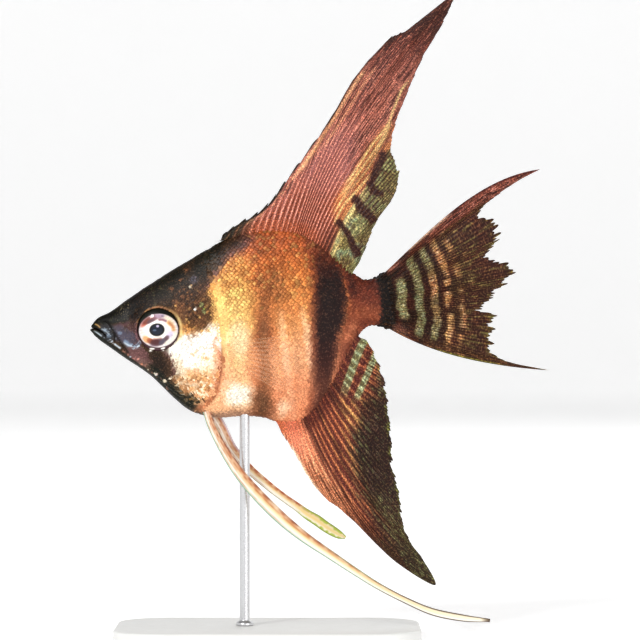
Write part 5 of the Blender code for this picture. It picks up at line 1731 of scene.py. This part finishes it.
def make_stand(settings):
    """A lacquered base with rounded corners, and a steel rod in a collar."""
    low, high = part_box("stand_base")
    outline = []
    corner = settings.corner
    for quarter, (sx, sy) in enumerate(((1, 1), (-1, 1), (-1, -1), (1, -1))):
        x, y = (high.x if sx > 0 else low.x) - sx * corner, (high.y if sy > 0 else low.y) - sy * corner
        for i in range(CORNER_STEPS + 1):
            a = math.pi / 2 * (quarter + i / CORNER_STEPS)
            outline.append((x + corner * math.cos(a), y + corner * math.sin(a)))
    bm = bmesh.new()
    base = bm.faces.new([bm.verts.new((x, y, low.z)) for x, y in outline])
    risen = bmesh.ops.extrude_face_region(bm, geom=[base])
    top = [v for v in risen["geom"] if isinstance(v, bmesh.types.BMVert)]
    bmesh.ops.translate(bm, verts=top, vec=(0, 0, high.z - low.z))
    bmesh.ops.recalc_face_normals(bm, faces=bm.faces)
    rim = [e for e in bm.edges if abs(e.verts[0].co.z - e.verts[1].co.z) < 1e-6]
    bmesh.ops.bevel(bm, geom=rim, offset=settings.edge, segments=4, affect="EDGES", profile=0.5)
    mesh = bpy.data.meshes.new("stand_base_finish")
    bm.to_mesh(mesh)
    bm.free()
    tree = Tree("satin_lacquer")
    haze = tree.noise(0.004, 3)
    lacquer = tuple(settings.lacquer) + (1,)
    mesh.materials.append(tree.finish(
        Base_Color=tree.mix(lacquer, (0.62, 0.62, 0.6, 1), tree.between(haze, 0.3, 0.8, 0, 0.25)),
        Roughness=tree.between(tree.noise(0.0015, 2), 0.3, 0.7, 0.34, 0.46),
        Normal=tree.bump(tree.noise(0.0004, 2), 0.00001)))
    mesh.shade_smooth()
    mesh.set_sharp_from_angle(angle=math.radians(50))
    place_on_frame(add_object("stand_base_finish", mesh), "white_lacquer", "stand_base")

    low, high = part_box("stand_rod")
    radius, middle = (high.x - low.x) / 2, ((low.x + high.x) / 2, (low.y + high.y) / 2)
    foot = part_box("stand_base")[1].z
    collar = [(radius * wider, foot + rise) for wider, rise in ROD_COLLAR]
    ring, faces = turned_profile([(radius, low.z), *collar, (radius, high.z - ROD_SUNK)], ROD_SIDES, middle)
    tree = Tree("brushed_rod")
    stretched = tree.node("ShaderNodeMapping", Vector=tree.place, Scale=(1, 1, 12)).outputs[0]
    brushed = tree.noise(0.0008, 3, vector=stretched)
    material = tree.finish(Base_Color=(0.62, 0.62, 0.63, 1), Metallic=1.0,
                           Roughness=tree.between(brushed, 0.3, 0.7, 0.22, 0.4),
                           Normal=tree.bump(brushed, 0.000004))
    rod = make_mesh("stand_rod_finish", ring, faces + end_caps(len(ring), ROD_SIDES)[1:], material)
    face_out(rod)
    rod.data.set_sharp_from_angle(angle=math.radians(60))
    place_on_frame(rod, "brushed_steel", "stand_rod")


def make_stage(settings):
    """A round pale floor that curves up into a wall, soft lights and the camera."""
    tree = Tree("studio_white")
    white = tree.mix((0.93, 0.93, 0.93, 1), (0.9, 0.9, 0.9, 1), tree.noise(0.4, 2))
    material = tree.finish(Base_Color=white, Roughness=0.9, Specular_IOR_Level=0.1,
                           Emission_Color=(1, 1, 1, 1), Emission_Strength=settings.scale_glint)
    profile = [(0.02, 0), (1, 0), (2, 0), (FLOOR_RADIUS, 0)]
    profile += [(FLOOR_RADIUS + FLOOR_BEND * math.sin(a), FLOOR_BEND - FLOOR_BEND * math.cos(a))
                for a in np.linspace(0.1, math.pi / 2, 12)]
    profile += [(FLOOR_RADIUS + FLOOR_BEND, WALL_TOP)]
    floor = make_mesh("studio_floor", *turned_profile([(r, z - FLOOR_DROP) for r, z in profile], FLOOR_SIDES),
                      material)

    world = bpy.data.worlds.new("studio")
    bpy.context.scene.world = world
    world.use_nodes = True
    background = world.node_tree.nodes["Background"].inputs
    background["Color"].default_value = (1, 1, 1, 1)
    background["Strength"].default_value = settings.sky
    target = Vector((0, 0, (CAD_BOX[0].z + CAD_BOX[1].z) / 2))
    for name, place, size, power in (("key", (-0.75, -1.15, 0.95), 0.32, settings.key),
                                     ("fill", (0.95, -1.1, 0.35), 0.9, settings.fill),
                                     ("back", (0.5, 1.2, 1.0), 0.8, settings.back)):
        data = bpy.data.lights.new(name, "AREA")
        data.shape, data.size, data.energy = "DISK", size, power
        light = add_object(name, data)
        light.location = place
        light.rotation_euler = (target - light.location).to_track_quat("-Z", "Y").to_euler()

    data = bpy.data.cameras.new("camera")
    data.lens, data.sensor_width = settings.lens, SENSOR_WIDTH
    data.clip_start, data.clip_end = CLIP
    camera = add_object("camera", data)
    camera.location = (0, -settings.seen * settings.lens / SENSOR_WIDTH, settings.camera_height)
    camera.rotation_euler = (math.pi / 2, 0, 0)
    bpy.context.scene.camera = camera
    bpy.context.scene.view_settings.view_transform = "Standard"


# ---- Settings, operators and panel ----

class SkinSettings(bpy.types.PropertyGroup):
    head_step: FloatProperty(name="Head Step", description="Distance between rings of the head",
                             default=0.00016, unit="LENGTH", precision=5)
    trunk_step: FloatProperty(name="Trunk Step", description="Distance between rings of the trunk",
                              default=0.0005, unit="LENGTH", precision=5)
    around: IntProperty(name="Around", description="Points up each side of a ring", default=132, min=20)


class ScaleSettings(bpy.types.PropertyGroup):
    along: FloatProperty(name="Along", description="Distance between scales of a row", default=0.0011,
                         unit="LENGTH", precision=5)
    across: FloatProperty(name="Across", description="Distance between rows", default=0.00058, unit="LENGTH",
                          precision=5)
    face: FloatProperty(name="Face", description="Size of the head's scales over the flank's", default=0.66)
    overlap: FloatProperty(name="Overlap", description="A scale's length over the distance between scales",
                           default=2.1)
    breadth: FloatProperty(name="Breadth", description="A scale's breadth over the room it has", default=1.62)
    lift: FloatProperty(name="Lift", description="How far a scale's free edge is tipped up, in degrees",
                        default=8.5)
    unevenness: FloatProperty(name="Unevenness", description="Spread of the scales' lie, in degrees",
                              default=4.0)


class FinSettings(bpy.types.PropertyGroup):
    per_ray: IntProperty(name="Per Ray", description="Columns of the mesh from ray to ray", default=12, min=6)
    sway: FloatProperty(name="Sway", description="How far the long fins swing to a side", default=0.0008,
                        unit="LENGTH", precision=5)


class StandSettings(bpy.types.PropertyGroup):
    corner: FloatProperty(name="Corner", description="Radius of the base's corners", default=0.012,
                          unit="LENGTH")
    edge: FloatProperty(name="Edge", description="Rounding of the base's rim", default=0.0006, unit="LENGTH")
    lacquer: FloatVectorProperty(name="Lacquer", description="Colour of the base", default=(0.74, 0.74, 0.72),
                                 subtype="COLOR", min=0, max=1)


class StageSettings(bpy.types.PropertyGroup):
    key: FloatProperty(name="Key Light", description="Power of the key light", default=14, unit="POWER")
    fill: FloatProperty(name="Fill Light", description="Power of the fill light", default=6, unit="POWER")
    back: FloatProperty(name="Back Light", description="Power of the light behind", default=6, unit="POWER")
    sky: FloatProperty(name="Sky", description="Strength of the light from all round", default=0.3)
    scale_glint: FloatProperty(name="Floor Glow", description="Light given off by the floor", default=0.34)
    lens: FloatProperty(name="Lens", description="Camera's focal length in millimetres", default=200)
    seen: FloatProperty(name="Seen", description="Width seen at the fish", default=0.15125, unit="LENGTH")
    camera_height: FloatProperty(name="Camera Height", description="Camera's height over the floor",
                                 default=0.0752, unit="LENGTH")


class ANGELFISH_OT_stage(bpy.types.Operator):
    """Add the floor, the lights and the camera"""
    bl_idname = "angelfish.stage"
    bl_label = "Stage"

    def execute(self, context):
        make_stage(context.scene.angelfish_stage)
        return {"FINISHED"}


class ANGELFISH_OT_skin(bpy.types.Operator):
    """Cover the body with one skin"""
    bl_idname = "angelfish.skin"
    bl_label = "Skin"

    def execute(self, context):
        make_skin(context.scene.angelfish_skin)
        return {"FINISHED"}


class ANGELFISH_OT_scales(bpy.types.Operator):
    """Lay overlapping scales on both flanks and on the head"""
    bl_idname = "angelfish.scales"
    bl_label = "Scales"

    def execute(self, context):
        settings = context.scene.angelfish_scales
        material = scale_material()
        step = np.array((settings.along, settings.across)) / UNIT

        def flank(s, h):
            return (s > smooth_at(GILL_REAR, h) - 0.2) & (s < 100.5)

        def head(s, h):
            clear = np.hypot(s - EYE_S, h - EYE_H) > ORBIT + mm(1.0)
            behind_face = (s > 13.5) & (s < smooth_at(GILL_REAR, h) - 0.9)
            return clear & behind_face & (h > smooth_at(BELLY, s) + 4.5)

        for name, region, size, seed in (("scales", flank, 1, 91), ("head_scales", head, settings.face, 95)):
            make_scales(name + "_left", -1, region, step * size, seed, settings, material)
            make_scales(name + "_right", 1, region, step * size, seed + 1, settings, material)
        return {"FINISHED"}


class ANGELFISH_OT_eyes(bpy.types.Operator):
    """Set both eyes"""
    bl_idname = "angelfish.eyes"
    bl_label = "Eyes"

    def execute(self, context):
        material = eye_material()
        for name, side in (("eye_left", -1), ("eye_right", 1)):
            make_eye(name, side, material)
        return {"FINISHED"}


class ANGELFISH_OT_upright_fins(bpy.types.Operator):
    """Add the dorsal, anal and tail fins"""
    bl_idname = "angelfish.upright_fins"
    bl_label = "Upright Fins"

    def execute(self, context):
        make_upright_fins(context.scene.angelfish_fins)
        return {"FINISHED"}


class ANGELFISH_OT_paired_fins(bpy.types.Operator):
    """Add the pectoral fins and the pelvic feelers"""
    bl_idname = "angelfish.paired_fins"
    bl_label = "Paired Fins"

    def execute(self, context):
        clear, cream = pectoral_material(), fin_material()
        for name, side in (("pectoral_fin_left", -1), ("pectoral_fin_right", 1)):
            make_pectoral(name, side, clear)
        make_pelvic("pelvic_fin_left", -1, LEFT_PELVIC, LEFT_BREADTH, cream)
        make_pelvic("pelvic_fin_right", 1, RIGHT_PELVIC, RIGHT_BREADTH, cream)
        return {"FINISHED"}


class ANGELFISH_OT_stand(bpy.types.Operator):
    """Finish the base and the rod"""
    bl_idname = "angelfish.stand"
    bl_label = "Stand"

    def execute(self, context):
        make_stand(context.scene.angelfish_stand)
        return {"FINISHED"}


class ANGELFISH_PT_panel(bpy.types.Panel):
    bl_label = "Angelfish"
    bl_idname = "ANGELFISH_PT_panel"
    bl_space_type = "VIEW_3D"
    bl_region_type = "UI"
    bl_category = "Angelfish"

    def draw(self, context):
        for operator in OPERATORS:
            self.layout.operator(operator.bl_idname)


SETTINGS = {
    "angelfish_skin": SkinSettings, "angelfish_scales": ScaleSettings, "angelfish_fins": FinSettings,
    "angelfish_stand": StandSettings, "angelfish_stage": StageSettings,
}
OPERATORS = (
    ANGELFISH_OT_stage, ANGELFISH_OT_skin, ANGELFISH_OT_scales, ANGELFISH_OT_eyes, ANGELFISH_OT_upright_fins,
    ANGELFISH_OT_paired_fins, ANGELFISH_OT_stand,
)


def register():
    for group in (*SETTINGS.values(), *OPERATORS, ANGELFISH_PT_panel):
        bpy.utils.register_class(group)
    for name, group in SETTINGS.items():
        setattr(bpy.types.Scene, name, PointerProperty(type=group))


def unregister():
    for name in SETTINGS:
        delattr(bpy.types.Scene, name)
    for group in reversed((*SETTINGS.values(), *OPERATORS, ANGELFISH_PT_panel)):
        bpy.utils.unregister_class(group)


def main():
    register()
    for operator in OPERATORS:
        getattr(bpy.ops.angelfish, operator.bl_idname.split(".")[1])()


if __name__ == "__main__":
    main()
